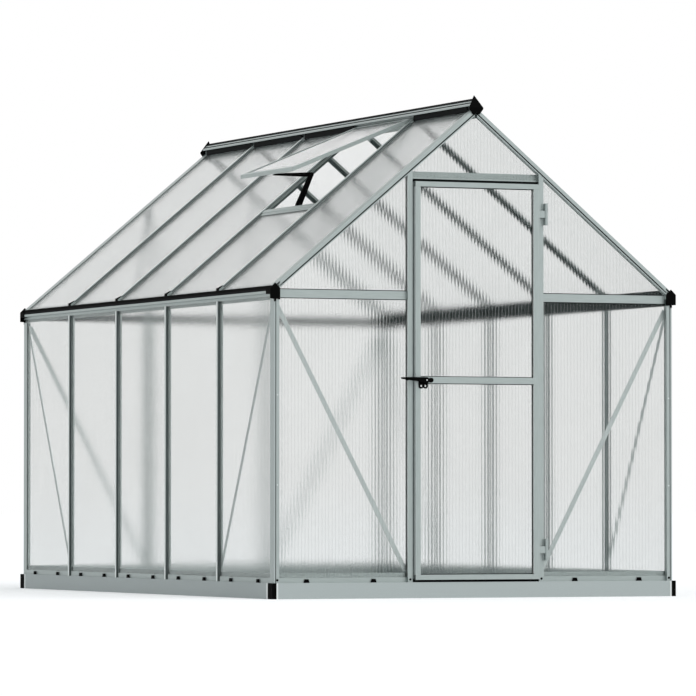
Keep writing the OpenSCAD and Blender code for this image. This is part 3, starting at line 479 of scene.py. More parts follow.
def sheet_parts(edge_a, edge_low, edge_high, outer, inner):
    """Both skins and the ribs of one sheet in its own coordinates: across, along, deep. At t of the way from
    rib to rib, an outer face has sunk by the sag times (1 - cos(2 pi t)) / 2."""
    a0, a1 = edge_a[0], edge_a[-1]
    count = max(1, int((a1 - a0) / PITCH))
    first = (a0 + a1 - (count - 1) * PITCH) / 2
    a = np.unique(np.concatenate([np.linspace(a0, a1, count * STEPS + 1), edge_a]))
    low, high = np.interp(a, edge_a, edge_low), np.interp(a, edge_a, edge_high)
    sag = SAG * (1 - np.cos(2 * np.pi * (a - first) / PITCH)) / 2
    skins = [skin_part(a, low, high, outer + sag, np.full_like(a, outer + SKIN)),
             skin_part(a, low, high, np.full_like(a, inner - SKIN), inner - sag)]
    r = first + PITCH * np.arange(count)
    low, high = np.interp(r, edge_a, edge_low), np.interp(r, edge_a, edge_high)
    return skins, [rib_part(r, low, high, outer + SKIN + RIB_GAP, inner - SKIN - RIB_GAP)]

print("ribs every", PITCH, "m, skins", SKIN, "m thick")

# %% [markdown]
# ## All sheets of a wall
# The sheets of one wall, slope or door stand for one CAD node. They could be one object each, but one mesh
# with two materials, skin and rib, is easier to carry. The piece rides on the body that the slab belongs
# to, so the door's sheets swing with the door. The skins are shaded smooth, so that the wave of the sag has
# no facets.

# %% Sheet builder
CREASE = math.radians(30)

def twin_wall(name, node, body, sheets, across, along, deep, skin):
    """All sheets of a CAD node as one piece. Each is (places across, low edges, high edges, outer, inner)."""
    skins, ribs = [], []
    for sheet in sheets:
        s, r = sheet_parts(*[np.asarray(value, float) for value in sheet])
        skins, ribs = skins + s, ribs + r
    axes = np.array([across, along, deep], float)
    sets = [(points @ axes, faces) for points, faces in (joined(skins), joined(ribs))]
    sets = [(points, outward(points, faces)) for points, faces in sets]
    points, faces = joined(sets)
    is_rib = np.arange(len(faces)) >= len(sets[0][1])
    piece = mesh_piece(name, points, faces, [skin, rib])
    piece.data.polygons.foreach_set("material_index", is_rib.astype(np.int32))
    piece.data.polygons.foreach_set("use_smooth", np.ones(len(faces), bool))
    piece.data.set_sharp_from_angle(angle=CREASE)
    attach(piece, body)
    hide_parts(node)
    print(name, "sheets", len(sheets), "faces", len(faces))

print("sheets are sharp where faces meet at more than", round(math.degrees(CREASE)), "degrees")

# %% [markdown]
# ## Reading the CAD model
# The CAD node of a wall holds its slabs as loose corners. Their sizes could be typed in again, but then a
# change in the CAD model would leave the sheets behind. The different values of one coordinate among the
# corners are the edges of the slabs, in pairs, so the sheets are laid out without typing a single size. The
# sign of a side or an end says which way is outwards.

# %% Corners of a node
X, Y, Z = np.eye(3)
LONG_SIDES = (("left", -1.0), ("right", 1.0))
ENDS = (("front", -1.0), ("back", 1.0))
LEFT_RIGHT = np.array([-1.0, 1.0])

def corners(node):
    """The corner points of a CAD node."""
    points = np.empty(3 * len(nodes[node].data.vertices), np.float32)
    nodes[node].data.vertices.foreach_get("co", points)
    return np.round(points.reshape(-1, 3).astype(float), 5)

def pairs(values):
    """The different values in order, two by two."""
    return np.unique(values).reshape(-1, 2)

print("left wall sheets lie between", pairs(corners("left_wall_panels")[:, 1]).tolist())

# %% [markdown]
# ## Sheets of the walls and the door
# The wall sheets stand upright, with their flutes from sill to eave. All four walls could be one piece.
# They stay one piece for each wall, as in the CAD model, and the door's sheets are a piece of their own
# that rides on the door.

# %% Upright sheets
for side, sign in LONG_SIDES:
    slabs = corners(side + "_wall_panels")
    foot, head = slabs[:, 2].min(), slabs[:, 2].max()
    outer, inner = np.sort(-sign * pairs(slabs[:, 0])[0])
    sheets = [(span, (foot, foot), (head, head), outer, inner) for span in pairs(slabs[:, 1])]
    twin_wall(side + "_wall_sheets", side + "_wall_panels", "frame", sheets, Y, Z, -sign * X, side_skin)
for end, sign in ENDS:
    slabs = corners(end + "_wall_panels")
    foot, head = slabs[:, 2].min(), slabs[:, 2].max()
    outer, inner = np.sort(-sign * pairs(slabs[:, 1])[0])
    sheets = [(span, (foot, foot), (head, head), outer, inner) for span in pairs(slabs[:, 0])]
    twin_wall(end + "_wall_sheets", end + "_wall_panels", "frame", sheets, X, Z, -sign * Y, gable_skin)
slabs = corners("door_panels")
(left, outer, _), (right, inner, _) = slabs.min(0), slabs.max(0)
sheets = [((left, right), (foot, foot), (head, head), outer, inner) for foot, head in pairs(slabs[:, 2])]
twin_wall("door_sheets", "door_panels", "door", sheets, X, Z, Y, gable_skin)

# %% [markdown]
# ## Gable sheets
# Above the cross rails the sheets are cut along the roof. They could be cut from larger sheets with a
# Boolean, which is slow on so many ribs. Instead their upper edge is read from the highest corner at each
# place across the gable, and the top sheet has a notch in its point, where the ridge beam comes through.

# %% Gable sheets
NOTCH_STEP = 0.0001

def outline(slab):
    """Places across, low edge and high edge of a gable sheet: its lowest and highest corner at each place."""
    a = np.unique(slab[:, 0])
    low = np.array([slab[slab[:, 0] == x, 2].min() for x in a])
    high = np.array([slab[slab[:, 0] == x, 2].max() for x in a])
    if len(a) > 2:
        notch = low[1]
        a = np.array([a[0], a[1], a[1] + NOTCH_STEP, a[-2] - NOTCH_STEP, a[-2], a[-1]])
        high = np.array([high[0], high[1], notch, notch, high[-2], high[-1]])
        low = np.full(6, low[0])
    return a, low, high

for end, sign in ENDS:
    slabs = corners(end + "_gable_panels")
    outer, inner = np.sort(-sign * pairs(slabs[:, 1])[0])
    top_edge, side_edge = np.unique(np.abs(slabs[:, 0]))[-3:-1]
    cut = (top_edge + side_edge) / 2
    x = slabs[:, 0]
    sheets = [(*outline(slabs[part]), outer, inner) for part in (x < -cut, np.abs(x) < cut, x > cut)]
    twin_wall(end + "_gable_sheets", end + "_gable_panels", "frame", sheets, X, Z, -sign * Y, gable_skin)

# %% [markdown]
# ## Roof and vent sheets
# On the roof the flutes run down the slope, so that rain and condensation drain out of them. A level sheet
# could be built and then turned, but a finished piece stays unturned here. So the direction along the
# flutes is the slope itself, measured on the slab, and the depth is at right angles to it.

# %% Roof sheets
def slope_sheets(name, node, sign):
    """Sheets on the slope of the left (-1) or right (1) side, with flutes from the low edge to the high."""
    slabs = corners(node)
    away = slabs[:, 0] * sign
    top, foot = slabs[away == away.min()], slabs[away == away.max()]
    top, foot = top[np.argmax(top[:, 2])], foot[np.argmax(foot[:, 2])]
    along = (top - foot) * (X + Z)
    along = along / np.linalg.norm(along)
    deep = np.cross(along, Y)
    deep = deep if deep[2] < 0 else -deep
    sheets = []
    for y0, y1 in pairs(slabs[:, 1]):
        own = slabs[(slabs[:, 1] >= y0) & (slabs[:, 1] <= y1)]
        run, depth = own @ along, own @ deep
        sheets.append(((y0, y1), (run.min(),) * 2, (run.max(),) * 2, depth.min(), depth.max()))
    twin_wall(name, node, "frame", sheets, Y, along, deep, roof_skin)

slope_sheets("left_roof_sheets", "left_roof_panels", -1)
slope_sheets("right_roof_sheets", "right_roof_panels", 1)
slope_sheets("vent_sheet", "vent_panel", -1)

# %% [markdown]
# ## Black rubber, dark bands, brush and bright metal
# Black rubber fills the rafters' channels and lies on the ridge. The same black is painted shade in the
# corners beside the jambs, the cross rails and the door's sheets, behind the gaps above and below the door,
# under the ridge's lips and along the top of the gutters. The dark bands beside the ribs of the studs and
# roof bars are painted shade and a little paler, and the same tone darkens the inner faces of the eave beams
# and back rails.
# The strips under the roof bars are paler still. The brush along the door's edges is pale and drawn out
# upwards. The brightest metal is painted highlight on the ribs of the studs and roof bars and on the sides of
# the jambs and stiles. Next comes zinc, which makes the screw heads and the painted highlights on the leaf's
# outer edges and at the joints of the base. Each could have a node tree of its own, but all of them are two
# close tones with a grain, so the one finish builder serves for them too.

# %% Trim finishes
# Black rubber, also used as painted shade in corners and gaps.
rubber_and_shade = finish("rubber_and_shade", (0.002, 0.003, 0.003), (0.005, 0.006, 0.006), 700.0,
                roughness=0.7, bump=0.2, gloss=0.05)
# Dark bands: painted shade beside the ribs, and the dark strips on the inner faces.
dark_band = finish("dark_band", (0.022, 0.032, 0.03), (0.032, 0.044, 0.042), 700.0,
                roughness=0.6, bump=0.2, gloss=0.15)
# A paler dark tone for the strips under the roof bars.
underside_dark = finish("underside_dark", (0.075, 0.095, 0.09), (0.095, 0.115, 0.11), 700.0,
                roughness=0.6, bump=0.2, gloss=0.15)
brush = finish("brush", (0.40, 0.44, 0.43), (0.48, 0.52, 0.51), 900.0,
               roughness=0.8, bump=0.3, gloss=0.2, stretch=UPRIGHT, depth=0.0004)
# Painted highlight: bright metal strips on the ribs and on the sides of the jambs and stiles.
painted_highlight = finish("painted_highlight", (0.6, 0.645, 0.635), (0.7, 0.74, 0.73), 300.0,
                  roughness=0.35, bump=0.05, metallic=1.0)
# Zinc for the screw heads, also used as painted highlight on the leaf's edges and the base joints.
zinc_and_highlight = finish("zinc_and_highlight", (0.62, 0.66, 0.65), (0.74, 0.77, 0.76), 500.0,
              roughness=0.35, bump=0.1, metallic=0.4)
print("trim:", [material.name for material in (rubber_and_shade, dark_band, underside_dark, brush, painted_highlight, zinc_and_highlight)])

# %% [markdown]
# ## Strips
# Beads, seals and the strips of painted shade and painted highlight are all straight strips. They could be
# cubes, scaled and placed one by one. One function makes them instead: a four-cornered section carried from a
# start to an end. It takes whole arrays of places and gives one mesh for a set of like strips, already in its
# place.

# %% Strip builder
def points_at(x, y, z):
    """Points from their x, y and z, each of them one number or a whole array."""
    return np.stack(np.broadcast_arrays(x, y, z), -1)

def strips(name, body, material, start, end, side, rise):
    """Straight strips: the section start, start + side, start + side + rise, start + rise goes to the end."""
    rows = [np.atleast_2d(np.asarray(row, float)) for row in (start, end, side, rise)]
    start, end, side, rise = np.broadcast_arrays(*rows)
    ring = np.stack([np.zeros_like(side), side, side + rise, rise], 1)
    points = np.concatenate([start[:, None] + ring, end[:, None] + ring], 1)
    one = np.concatenate([grid_quads(2, 4), [[3, 2, 1, 0], [4, 5, 6, 7]]])
    faces = repeated(one, 8, len(start))
    inside_out = np.einsum("ij,ij->i", np.cross(side, rise), end - start) < 0
    faces[inside_out] = faces[inside_out][:, :, ::-1]
    piece = mesh_piece(name, points.reshape(-1, 3), faces.reshape(-1, 4), [material])
    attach(piece, body)
    print(name, len(start), "strips on", body)

print("a strip has 8 points")

# %% [markdown]
# ## Screw heads
# Screws and bolts show only their heads, which are short and turned. A cylinder with a bevel would do.
# Three rings of eight points with a flat top have the same outline with few faces, and like the strips they
# come as one mesh for a set. Any direction that is not along an axis helps to find two directions at right
# angles to the head's own.

# %% Screw builder
HEAD_POINTS = 8
HEAD_WIDTHS = np.array([1.0, 1.0, 0.7])
HEAD_HEIGHTS = np.array([0.0, 0.5, 1.0])
ASKEW = (0.3, 0.5, 0.8)

def screws(name, body, material, places, out, radius, height):
    """Screw heads at their places, facing out: three rings, with widths and heights times the head's size."""
    places = np.atleast_2d(np.asarray(places, float))
    first = np.cross(out, ASKEW)
    first = first / np.linalg.norm(first)
    second = np.cross(out, first)
    turn = 2 * np.pi * np.arange(HEAD_POINTS) / HEAD_POINTS
    circle = np.cos(turn)[:, None] * first + np.sin(turn)[:, None] * second
    head = radius * HEAD_WIDTHS[:, None, None] * circle + height * HEAD_HEIGHTS[:, None, None] * out
    head = head.reshape(-1, 3)
    flat = np.array([[0, 1, 2, 3], [0, 3, 4, 7], [4, 5, 6, 7]])
    one = np.concatenate([grid_quads(3, HEAD_POINTS), flat[:, ::-1], flat + 2 * HEAD_POINTS])
    points = places[:, None] + head
    faces = repeated(one, len(head), len(places))
    piece = mesh_piece(name, points.reshape(-1, 3), faces.reshape(-1, 4), [material])
    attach(piece, body)
    print(name, len(places), "heads on", body)

print("a screw head has", len(HEAD_WIDTHS) * HEAD_POINTS, "points")

# %% [markdown]
# ## Painted shade and painted highlights on the wall studs
# On either side of a stud's rib its flange lies in shade as a dark band, and the rib's own face catches a
# highlight. Dark strips on the flanges stand in for that shade as painted shade, and a bright strip on the
# rib is a painted highlight. They could be part of the stud's material, but the bands would need a mask for
# every stud. Thin strips are laid over it instead. Their places are read from the CAD model: the six
# different places across a stud are the edges of its flange, its rib and its web.

# %% Wall shade bands and highlights
THICK = 0.0008

def across_bars(node):
    """For each bar of a node, its six edges in order: flange, rib, web, web, rib, flange."""
    return np.unique(corners(node)[:, 1]).reshape(-1, 6)

def bands(edges, *spans):
    """Near places and widths along Y of the bands between two numbered edges of every bar."""
    near = np.concatenate([edges[:, a] for a, b in spans])
    width = np.concatenate([edges[:, b] - edges[:, a] for a, b in spans])
    return near, width[:, None] * Y

for side, sign in LONG_SIDES:
    studs = corners(side + "_wall_studs")
    edges = across_bars(side + "_wall_studs")
    flange_x, rib_x = sign * np.unique(np.abs(studs[:, 0]))[-2:]
    foot, head = studs[:, 2].min(), studs[:, 2].max()
    near, width = bands(edges, (0, 1), (4, 5))
    # Painted shade: dark strips on the flanges beside the rib.
    strips(side + "_stud_shade_bands", "frame", dark_band, points_at(flange_x, near, foot),
           points_at(flange_x, near, head), width, sign * THICK * X)
    near, width = bands(edges, (1, 4))
    # Painted highlight: a bright strip on the rib's face.
    strips(side + "_stud_highlights", "frame", painted_highlight, points_at(rib_x, near + THICK, foot),
           points_at(rib_x, near + THICK, head), width - 2 * THICK * Y, sign * THICK / 2 * X)

# %% [markdown]
# ## The slope of the roof
# On the roof the same bands follow the slope. A strip could be turned to the pitch, but it is simpler to
# find its two ends on the slope itself. The slope is a line from the eave to the ridge, taken from the
# gable rafters' outer edge, and a point on it is found by its distance from the middle of the house. The
# left roof is the mirror image.

# %% Slope
rafters = corners("front_gable_rafters")
away = np.abs(rafters[:, 0])
x_out, x_in = away.max(), away.min()
z_out, z_in = rafters[away == x_out, 2].max(), rafters[:, 2].max()
fall = (z_in - z_out) / (x_out - x_in)
normal = np.array([fall, 0.0, 1.0]) / math.hypot(fall, 1.0)
mirror = {"left": np.array([-1.0, 1.0, 1.0]), "right": np.ones(3)}
both_roofs = np.stack([mirror["left"], mirror["right"]])

def on_roof(x, y, depth=0.0):
    """Points of the right roof face at distances x from the middle, sunk by a depth: the height is the ridge
    end's, less the fall times the distance from there."""
    return points_at(x, y, z_in - (x - x_in) * fall) - depth * normal

def roof_strips(name, material, side, run, near, width, depth, rise):
    """Strips down one slope, between two distances from the middle, sunk by a depth and then raised."""
    start, stop = (on_roof(x, near, depth) * mirror[side] for x in run)
    strips(name, "frame", material, start, stop, width, rise * normal * mirror[side])

print("roof pitch", round(math.degrees(math.atan(fall)), 2), "degrees")

# %% [markdown]
# ## Painted shade, painted highlights and dark strips of the roof bars
# From above, a roof bar looks like a stud: a highlight on its rib between two bands of shade, both painted
# with thin strips as on the studs. From below, through the sheets, its flange and web are dark. A dark finish
# on the whole bar would spoil its outside, so thin dark strips lie only on the under side. The depths of the
# rib's top, the flange and the keel are measured at right angles to the slope.

# %% Roof shade bands, highlights and dark strips
SHADE_BAND_RUN, HIGHLIGHT_RUN, UNDERSIDE_RUN = (0.030, 0.892), (0.030, 0.890), (0.060, 0.860)
depths = np.unique(np.round((np.array([x_in, 0.0, z_in]) - corners("right_roof_bars")) @ normal, 4))
crown, under, keel = depths[0], depths[-2], depths[-1]
print("roof bar depths", depths)

for side in mirror:
    edges = across_bars(side + "_roof_bars")
    near, width = bands(edges, (0, 1), (4, 5))
    # Painted shade: dark strips on the flanges beside the rib.
    roof_strips(side + "_bar_shade_bands", dark_band, side, SHADE_BAND_RUN, near, width, 0.0, THICK)
    near, width = bands(edges, (1, 4))
    # Painted highlight: a bright strip on the rib's top.
    roof_strips(side + "_bar_highlights", painted_highlight, side, HIGHLIGHT_RUN, near + THICK,
                width - 2 * THICK * Y, crown, THICK / 2)
    near, width = bands(edges, (0, 2), (3, 5))
    roof_strips(side + "_bar_underside_strips", underside_dark, side, UNDERSIDE_RUN, near, width, under, -THICK)
    near = np.concatenate([edges[:, 2] - THICK, edges[:, 3]])
    roof_strips(side + "_web_underside_strips", underside_dark, side, UNDERSIDE_RUN, near, THICK * Y,
                under + THICK, under + THICK - keel)

# %% [markdown]
# ## Beads of the rafters
# A black bead fills the open channel down each gable rafter. It could be a dark band in the rafter's
# finish, but a bead in the channel keeps the shadow of the channel's edges. It lies between two depths
# under the roof face.

# %% Rafter beads
RAFTER_RUN = (0.012, 0.884)
CHANNEL_TOP, CHANNEL_FOOT = 0.0147, 0.0193
CHANNEL_SETBACK, CHANNEL_BEAD = 0.0019, 0.0027

for end, sign in ENDS:
    channel_y = sign * (np.abs(corners(end + "_gable_rafters")[:, 1]).max() - CHANNEL_SETBACK)
    start, stop = (on_roof(x, channel_y, CHANNEL_TOP) * both_roofs for x in RAFTER_RUN)
    strips(end + "_rafter_beads", "frame", rubber_and_shade, start, stop,
           (CHANNEL_TOP - CHANNEL_FOOT) * normal * both_roofs, sign * CHANNEL_BEAD * Y)

# %% [markdown]
# ## Painted shade beside the jambs
# The corners where the front sheets meet the raised faces of the jambs lie in shade, a thin dark line along
# each jamb. Shading alone could do it, but it leaves these corners too pale in such soft light, so a narrow
# black strip lies in each corner as painted shade. The strips run from the sill to the cross rail and from
# there to the roof.

# %% Jamb corner shade
SHADE_LINE_WIDTH, SHADE_LINE_DEPTH = 0.003, 0.0024
PANE_GAP, RAFTER_DEPTH = 0.0001, 0.0245

jamb = np.abs(corners("door_jambs")[:, 0]).max()
pane_y = corners("front_wall_panels")[:, 1].min() - PANE_GAP
sill_top = np.unique(corners("gable_wall_sills")[:, 2])[2]
rails = np.abs(corners("front_cross_rails"))
rail_x, rail_foot, rail_head = rails[:, 0].max(), rails[:, 2].min(), rails[:, 2].max()
roof_z = on_roof(jamb + SHADE_LINE_WIDTH, 0.0, RAFTER_DEPTH)[2]
spans = ((sill_top, rail_foot), (rail_head, roof_z))
sign, foot, head = np.array([(s, *span) for s in (-1, 1) for span in spans]).T
start, stop = points_at(sign * jamb, pane_y, foot), points_at(sign * jamb, pane_y, head)
outwards = sign[:, None] * X
strips("jamb_corner_shade", "frame", rubber_and_shade, start, stop, SHADE_LINE_WIDTH * outwards, -SHADE_LINE_DEPTH * Y)

# %% [markdown]
# ## Painted shade along the cross rails
# The same black strips of painted shade lie in the corners above and below the cross rails on both sides of
# the door. They could be one ring with the jambs' strips, but straight strips that meet in the corner look
# the same and need no mitre.

# %% Cross rail shade
edge_lines = ((rail_foot, -1), (rail_head, 1))
sign, z, away = np.array([(s, *line) for s in (-1, 1) for line in edge_lines]).T
strips("cross_rail_shade", "frame", rubber_and_shade, points_at(sign * jamb, pane_y, z),
       points_at(sign * rail_x, pane_y, z), SHADE_LINE_WIDTH * away[:, None] * Z, -SHADE_LINE_DEPTH * Y)

# %% [markdown]
# ## Painted highlights on the jambs
# The jambs' sides above the dark strips catch a highlight. A paler finish could be given to the whole jamb,
# but its face is darker, so a thin bright strip of painted highlight lies on each side, from the dark strip
# almost to the face.

# %% Jamb highlights
SETBACK = 0.0005

jamb_y = corners("door_jambs")[:, 1].min()
strips("jamb_highlights", "frame", painted_highlight, start - SHADE_LINE_DEPTH * Y, stop - SHADE_LINE_DEPTH * Y,
       THICK / 2 * outwards, (jamb_y - pane_y + SHADE_LINE_DEPTH + SETBACK) * Y)

# %% [markdown]
# ## Painted shade on the door
# The corners where the door's two sheets meet the stiles and rails have the same black strips of painted
# shade.
# They could be drawn as two frames, but eight straight strips are simpler. They ride on the door, so they
# swing with it. The middle rail is found among the rails' corners between knee and chest height, and it parts
# the door into two panes.

# %% Door corner shade
KNEE, CHEST = 0.5, 1.2

stiles = corners("door_stiles")
stile, leaf = np.abs(stiles[:, 0]).min(), np.abs(stiles[:, 0]).max()
leaf_y, leaf_foot, leaf_head = stiles[:, 1].min(), stiles[:, 2].min(), stiles[:, 2].max()
pane_y = corners("door_panels")[:, 1].min() - PANE_GAP
rail_z = corners("door_rails")[:, 2]
middle = rail_z[(rail_z > KNEE) & (rail_z < CHEST)]
spans = ((leaf_foot, middle.min()), (middle.max(), leaf_head))
uprights = [(s, *span) for s in (-1, 1) for span in spans]
levels = [(z, s) for span in spans for z, s in zip(span, (1, -1))]
start = [(s * stile, pane_y, z0) for s, z0, z1 in uprights] + [(-stile, pane_y, z) for z, s in levels]
stop = [(s * stile, pane_y, z1) for s, z0, z1 in uprights] + [(stile, pane_y, z) for z, s in levels]
start, stop = np.array(start), np.array(stop)
inwards = np.array([-s * X for s, z0, z1 in uprights] + [s * Z for z, s in levels])
strips("door_corner_shade", "door", rubber_and_shade, start, stop, SHADE_LINE_WIDTH * inwards, -SHADE_LINE_DEPTH * Y)

# %% [markdown]
# ## Painted highlights on the door
# The sides of the stiles catch the light, those next to the sheets and those at the leaf's outer edge. A
# paler finish for the whole stile would also change its face, so thin bright strips of painted highlight lie
# on the sides only, set back a little from the face.

# %% Door highlights
LEAF_HIGHLIGHT = 0.0145

strips("leaf_highlights", "door", zinc_and_highlight, points_at(LEFT_RIGHT * leaf, leaf_y + SETBACK, leaf_foot),
       points_at(LEFT_RIGHT * leaf, leaf_y + SETBACK, leaf_head), THICK / 2 * LEFT_RIGHT[:, None] * X,
       LEAF_HIGHLIGHT * Y)
inner_sides = slice(len(uprights))
strips("stile_highlights", "door", painted_highlight, start[inner_sides] - SHADE_LINE_DEPTH * Y,
       stop[inner_sides] - SHADE_LINE_DEPTH * Y, THICK / 2 * inwards[inner_sides],
       (leaf_y - pane_y + SHADE_LINE_DEPTH + SETBACK) * Y)

# %% [markdown]
# ## Painted shade and brushes round the door
# The leaf stands in front of the jambs with a gap all round. Behind the gap, on the frame, black strips above
# and below are painted shade that makes those gaps black, and a pale brush seal lies at the sides. A seal
# could also ride on the door. On this house the leaf closes against it and swings away from it, so the seal
# rides on the frame and stays where it is when the door opens.

# %% Door gap shade and side brushes
SEAL_GAP, SEAL_DEPTH, LAP = 0.0012, 0.003, 0.004

opening = np.abs(corners("door_jambs")[:, 0]).min()
ledge, lintel = corners("door_jambs")[:, 2].min(), corners("door_header")[:, 2].min()
seal_y = stiles[:, 1].max() + SEAL_GAP
low, high = rail_z.min() + LAP, rail_z.max() - LAP
foot, rise = np.array([ledge, high]), np.array([low - ledge, lintel - high + LAP])
# Painted shade: black strips behind the gaps above and below the leaf.
strips("door_gap_shade", "frame", rubber_and_shade, points_at(-opening, seal_y, foot),
       points_at(opening, seal_y, foot), rise[:, None] * Z, SEAL_DEPTH * Y)
strips("door_seals_upright", "frame", brush, points_at(LEFT_RIGHT * opening, seal_y, low),
       points_at(LEFT_RIGHT * opening, seal_y, high), -(opening - leaf + LAP) * LEFT_RIGHT[:, None] * X,
       SEAL_DEPTH * Y)

# %% [markdown]
# ## Strips on the ridge
# A black strip caps the very top of the ridge beam, and another lies in the groove of its cover on each
# side. They could be modelled with the beam, but the beam is one metal section and these are rubber,
# pressed in afterwards. Down is the direction from the crest to the edge of the cover, and out is at right
# angles to it.

# %% Ridge strips
RIDGE_MARGIN = 0.002
CREST_WIDTH = 0.014
GROOVE_START, GROOVE_WIDTH = 0.615, 0.17
GROOVE_DEPTH, GROOVE_THICK = 0.0024, 0.0012

beam = corners("ridge_beam")
away = np.abs(beam[:, 0])
top, edge = beam[:, 2].max(), away.max()
edge_z, lip_z = beam[away == edge, 2].max(), beam[away == edge, 2].min()
slope = math.hypot(edge, top - edge_z)
down = np.array([edge, 0.0, edge_z - top]) / slope
out = np.array([-down[2], 0.0, down[0]])
ridge_end = np.abs(beam[beam[:, 2] == top, 1]).min() - RIDGE_MARGIN
crest = np.array([0.0, -ridge_end, top])
along = 2 * ridge_end * Y
strips("ridge_top_strips", "frame", rubber_and_shade, crest, crest + along,
       CREST_WIDTH * down * both_roofs, THICK * out * both_roofs)
start = (crest + GROOVE_START * slope * down - GROOVE_DEPTH * out) * both_roofs
strips("ridge_groove_strips", "frame", rubber_and_shade, start, start + along,
       GROOVE_WIDTH * slope * down * both_roofs, GROOVE_THICK * out * both_roofs)

# %% [markdown]
# ## Painted shade under the ridge
# Under the cover's lips a band of shade runs down to the sheets. A black strip stands in for it as painted
# shade in every bay but the one with the vent, whose upper edge fills the gap by itself. One long strip would
# be simpler, but it would cut through the roof bars, so each bay between two bars has its own.

# %% Ridge lip shade
LIP_SHADE_INSET, LIP_SHADE_SINK = 0.0045, 0.0015
LIP_SHADE_THICK, LIP_SHADE_LAP = 0.002, 0.002

gable_y = np.abs(corners("front_gable_rafters")[:, 1]).min()
vent_y = corners("vent_panel")[:, 1].mean()
for side, sign in LONG_SIDES:
    edges = across_bars(side + "_roof_bars")
    bays = np.concatenate([[-gable_y], edges[:, [0, 5]].ravel(), [gable_y]]).reshape(-1, 2)
    has_vent = (bays[:, 0] <= vent_y) & (bays[:, 1] >= vent_y) & (side == "left")
    start, stop = (on_roof(edge - LIP_SHADE_INSET, y, LIP_SHADE_SINK) * mirror[side] for y in bays[~has_vent].T)
    strips(side + "_ridge_lip_shade", "frame", rubber_and_shade, start, stop,
           sign * LIP_SHADE_THICK * X, (lip_z + LIP_SHADE_LAP - start[0, 2]) * Z)

# %% [markdown]
# ## Strips on the inside
# Seen through the sheets, the inner faces of each eave beam and the inner flanges of the back rails are
# dark. The sections could be dark all over, but their outer faces are bright, so thin dark strips cover the
# inner faces only.

# %% Inner strips
FILM, END_MARGIN = 0.0002, 0.030

beam = corners("right_eave_beam")
lip_x, seat_x = beam[beam[:, 2] == beam[:, 2].min(), 0].min(), beam[:, 0].min()
heights = [beam[beam[:, 0] == x, 2] for x in (lip_x, seat_x)]
inner_faces = [(x, z.min(), z.max()) for x, z in zip((lip_x, seat_x), heights)]
run = np.abs(corners("corner_posts")[:, 1]).max() - END_MARGIN
sign, x, foot, head = np.array([(s, *face) for s in (-1, 1) for face in inner_faces]).T
strips("eave_inner_strips", "frame", dark_band, points_at(sign * x, -run, foot),
       points_at(sign * x, run, foot), (head - foot)[:, None] * Z, -FILM * sign[:, None] * X)

rails = corners("back_cross_rails")
heights = np.unique(rails[:, 2])
flange_y = np.unique(rails[:, 1])[1]
left, right, foot = np.array([(*span, z) for span in pairs(rails[:, 0]) for z in heights[[0, 2]]]).T
strips("back_rail_strips", "frame", dark_band, points_at(left, flange_y, foot),
       points_at(right, flange_y, foot), (heights[1] - heights[0]) * Z, -THICK * Y)

# %% [markdown]
# ## Painted shade along the gutters
# Along the upper edge of each gutter lies a band of shade, in the gap below the heads of the roof sheets. A
# black strip on the gutter's outer face stands in for it as painted shade. It could be part of the gutter's
# finish, as a band of another colour, but a strip of its own keeps its sharp lower line from every side.

# %% Gutter shade
GUTTER_SHADE_HEIGHT, GUTTER_SHADE_THICK = 0.009, 0.0006

gutter_x = beam[:, 0].max()
gutter_shade_foot = beam[beam[:, 0] == gutter_x, 2].max() - GUTTER_SHADE_HEIGHT
run = np.abs(corners("eave_end_caps")[:, 1]).min()
strips("gutter_shade_strips", "frame", rubber_and_shade, points_at(LEFT_RIGHT * gutter_x, -run, gutter_shade_foot),
       points_at(LEFT_RIGHT * gutter_x, run, gutter_shade_foot), GUTTER_SHADE_HEIGHT * Z,
       GUTTER_SHADE_THICK * LEFT_RIGHT[:, None] * X)

# %% [markdown]
# ## Bolts and screws
# Bright bolts hold the braces to the corner posts, black screws pin the posts and jambs to the base, and
# one zinc screw holds the latch's lever. Screws are small enough to paint on, but a real head has an edge
# that catches the light. Their places are measured on the posts, the jambs and the latch plate.

# %% Bolts and screws
BOLT_INSET = 0.0152
BOLT_HEIGHTS = (0.468, 0.838)
BOLT_RADIUS, BOLT_HEAD = 0.0035, 0.0025
FOOT_HEIGHT = 0.078
FOOT_RADIUS, FOOT_HEAD = 0.005, 0.003
PIVOT_RADIUS, PIVOT_HEAD = 0.003, 0.001

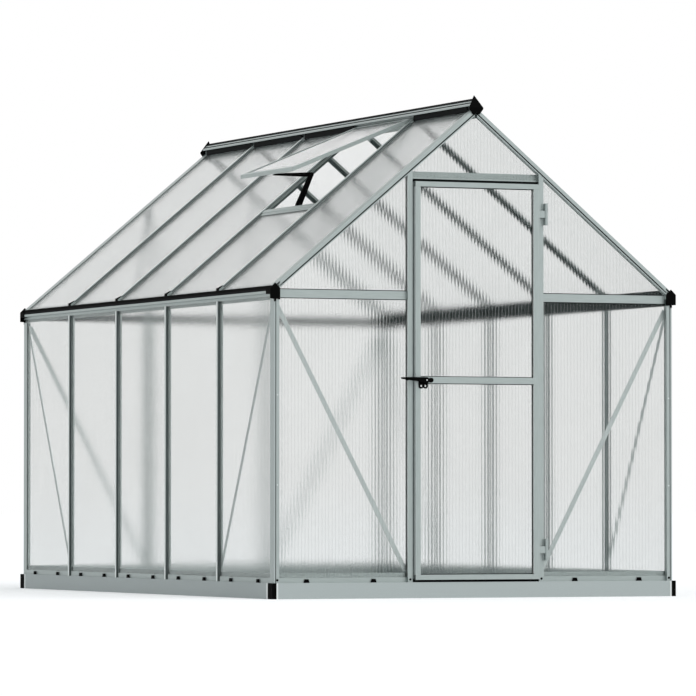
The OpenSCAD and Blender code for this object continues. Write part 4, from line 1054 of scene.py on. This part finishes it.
post_x, post_y = np.abs(corners("corner_posts")[:, :2]).max(0) - (BOLT_INSET, 0.0)
jamb_x = (opening + jamb) / 2
for end, sign in ENDS:
    places = [(s * post_x, sign * post_y, z) for s in (-1, 1) for z in BOLT_HEIGHTS]
    screws(end + "_post_bolts", "frame", zinc_and_highlight, places, sign * Y, BOLT_RADIUS, BOLT_HEAD)
    feet = (post_x, jamb_x) if end == "front" else (post_x,)
    places = [(s * x, sign * post_y, FOOT_HEIGHT) for s in (-1, 1) for x in feet]
    screws(end + "_foot_screws", "frame", black_plastic, places, sign * Y,
           FOOT_RADIUS, FOOT_HEAD)
plate = corners("latch_plate")
pivot = plate[plate[:, 1] == plate[:, 1].min()].mean(0)
screws("latch_pivot_screw", "door", zinc_and_highlight, pivot, -Y, PIVOT_RADIUS, PIVOT_HEAD)

# %% [markdown]
# ## Painted highlights at the base joints
# Where each base rail meets its corner cap there is a narrow bright line, a highlight. A thin zinc strip
# stands in for it as painted highlight. A line in the rail's finish would do for one view, but a thin strip
# is right from all sides. Each corner is a pair of signs, so the four strips of a kind are one small array.

# %% Joint highlights
END_HIGHLIGHT, SIDE_HIGHLIGHT, HIGHLIGHT_THICK = 0.008, 0.018, 0.001

caps = np.abs(corners("base_corner_caps"))
rail_x, rail_y = np.abs(corners("base_front_rail")[:, :2]).max(0)
leg_x, leg_y = caps[caps[:, 1] > rail_y, 0].min(), caps[:, 1].min()
four = np.array([(sx, sy, 0.0) for sx in (-1, 1) for sy in (-1, 1)])
start = four * (leg_x, rail_y, 0.0)
strips("end_joint_highlights", "frame", zinc_and_highlight, start, start + ledge * Z,
       -END_HIGHLIGHT * four * X, HIGHLIGHT_THICK * four * Y)
start = four * (rail_x, leg_y, 0.0)
strips("side_joint_highlights", "frame", zinc_and_highlight, start, start + ledge * Z,
       -SIDE_HIGHLIGHT * four * Y, HIGHLIGHT_THICK * four * X)

# %% [markdown]
# ## The size of the dressed model
# The dressed model has to keep the CAD model's size. It could be measured by hand in the viewport. Here the
# box of the dressed model is printed.

# %% Finish
low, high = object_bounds()
print("dressed box", [round(h - l, 4) for l, h in zip(low, high)])
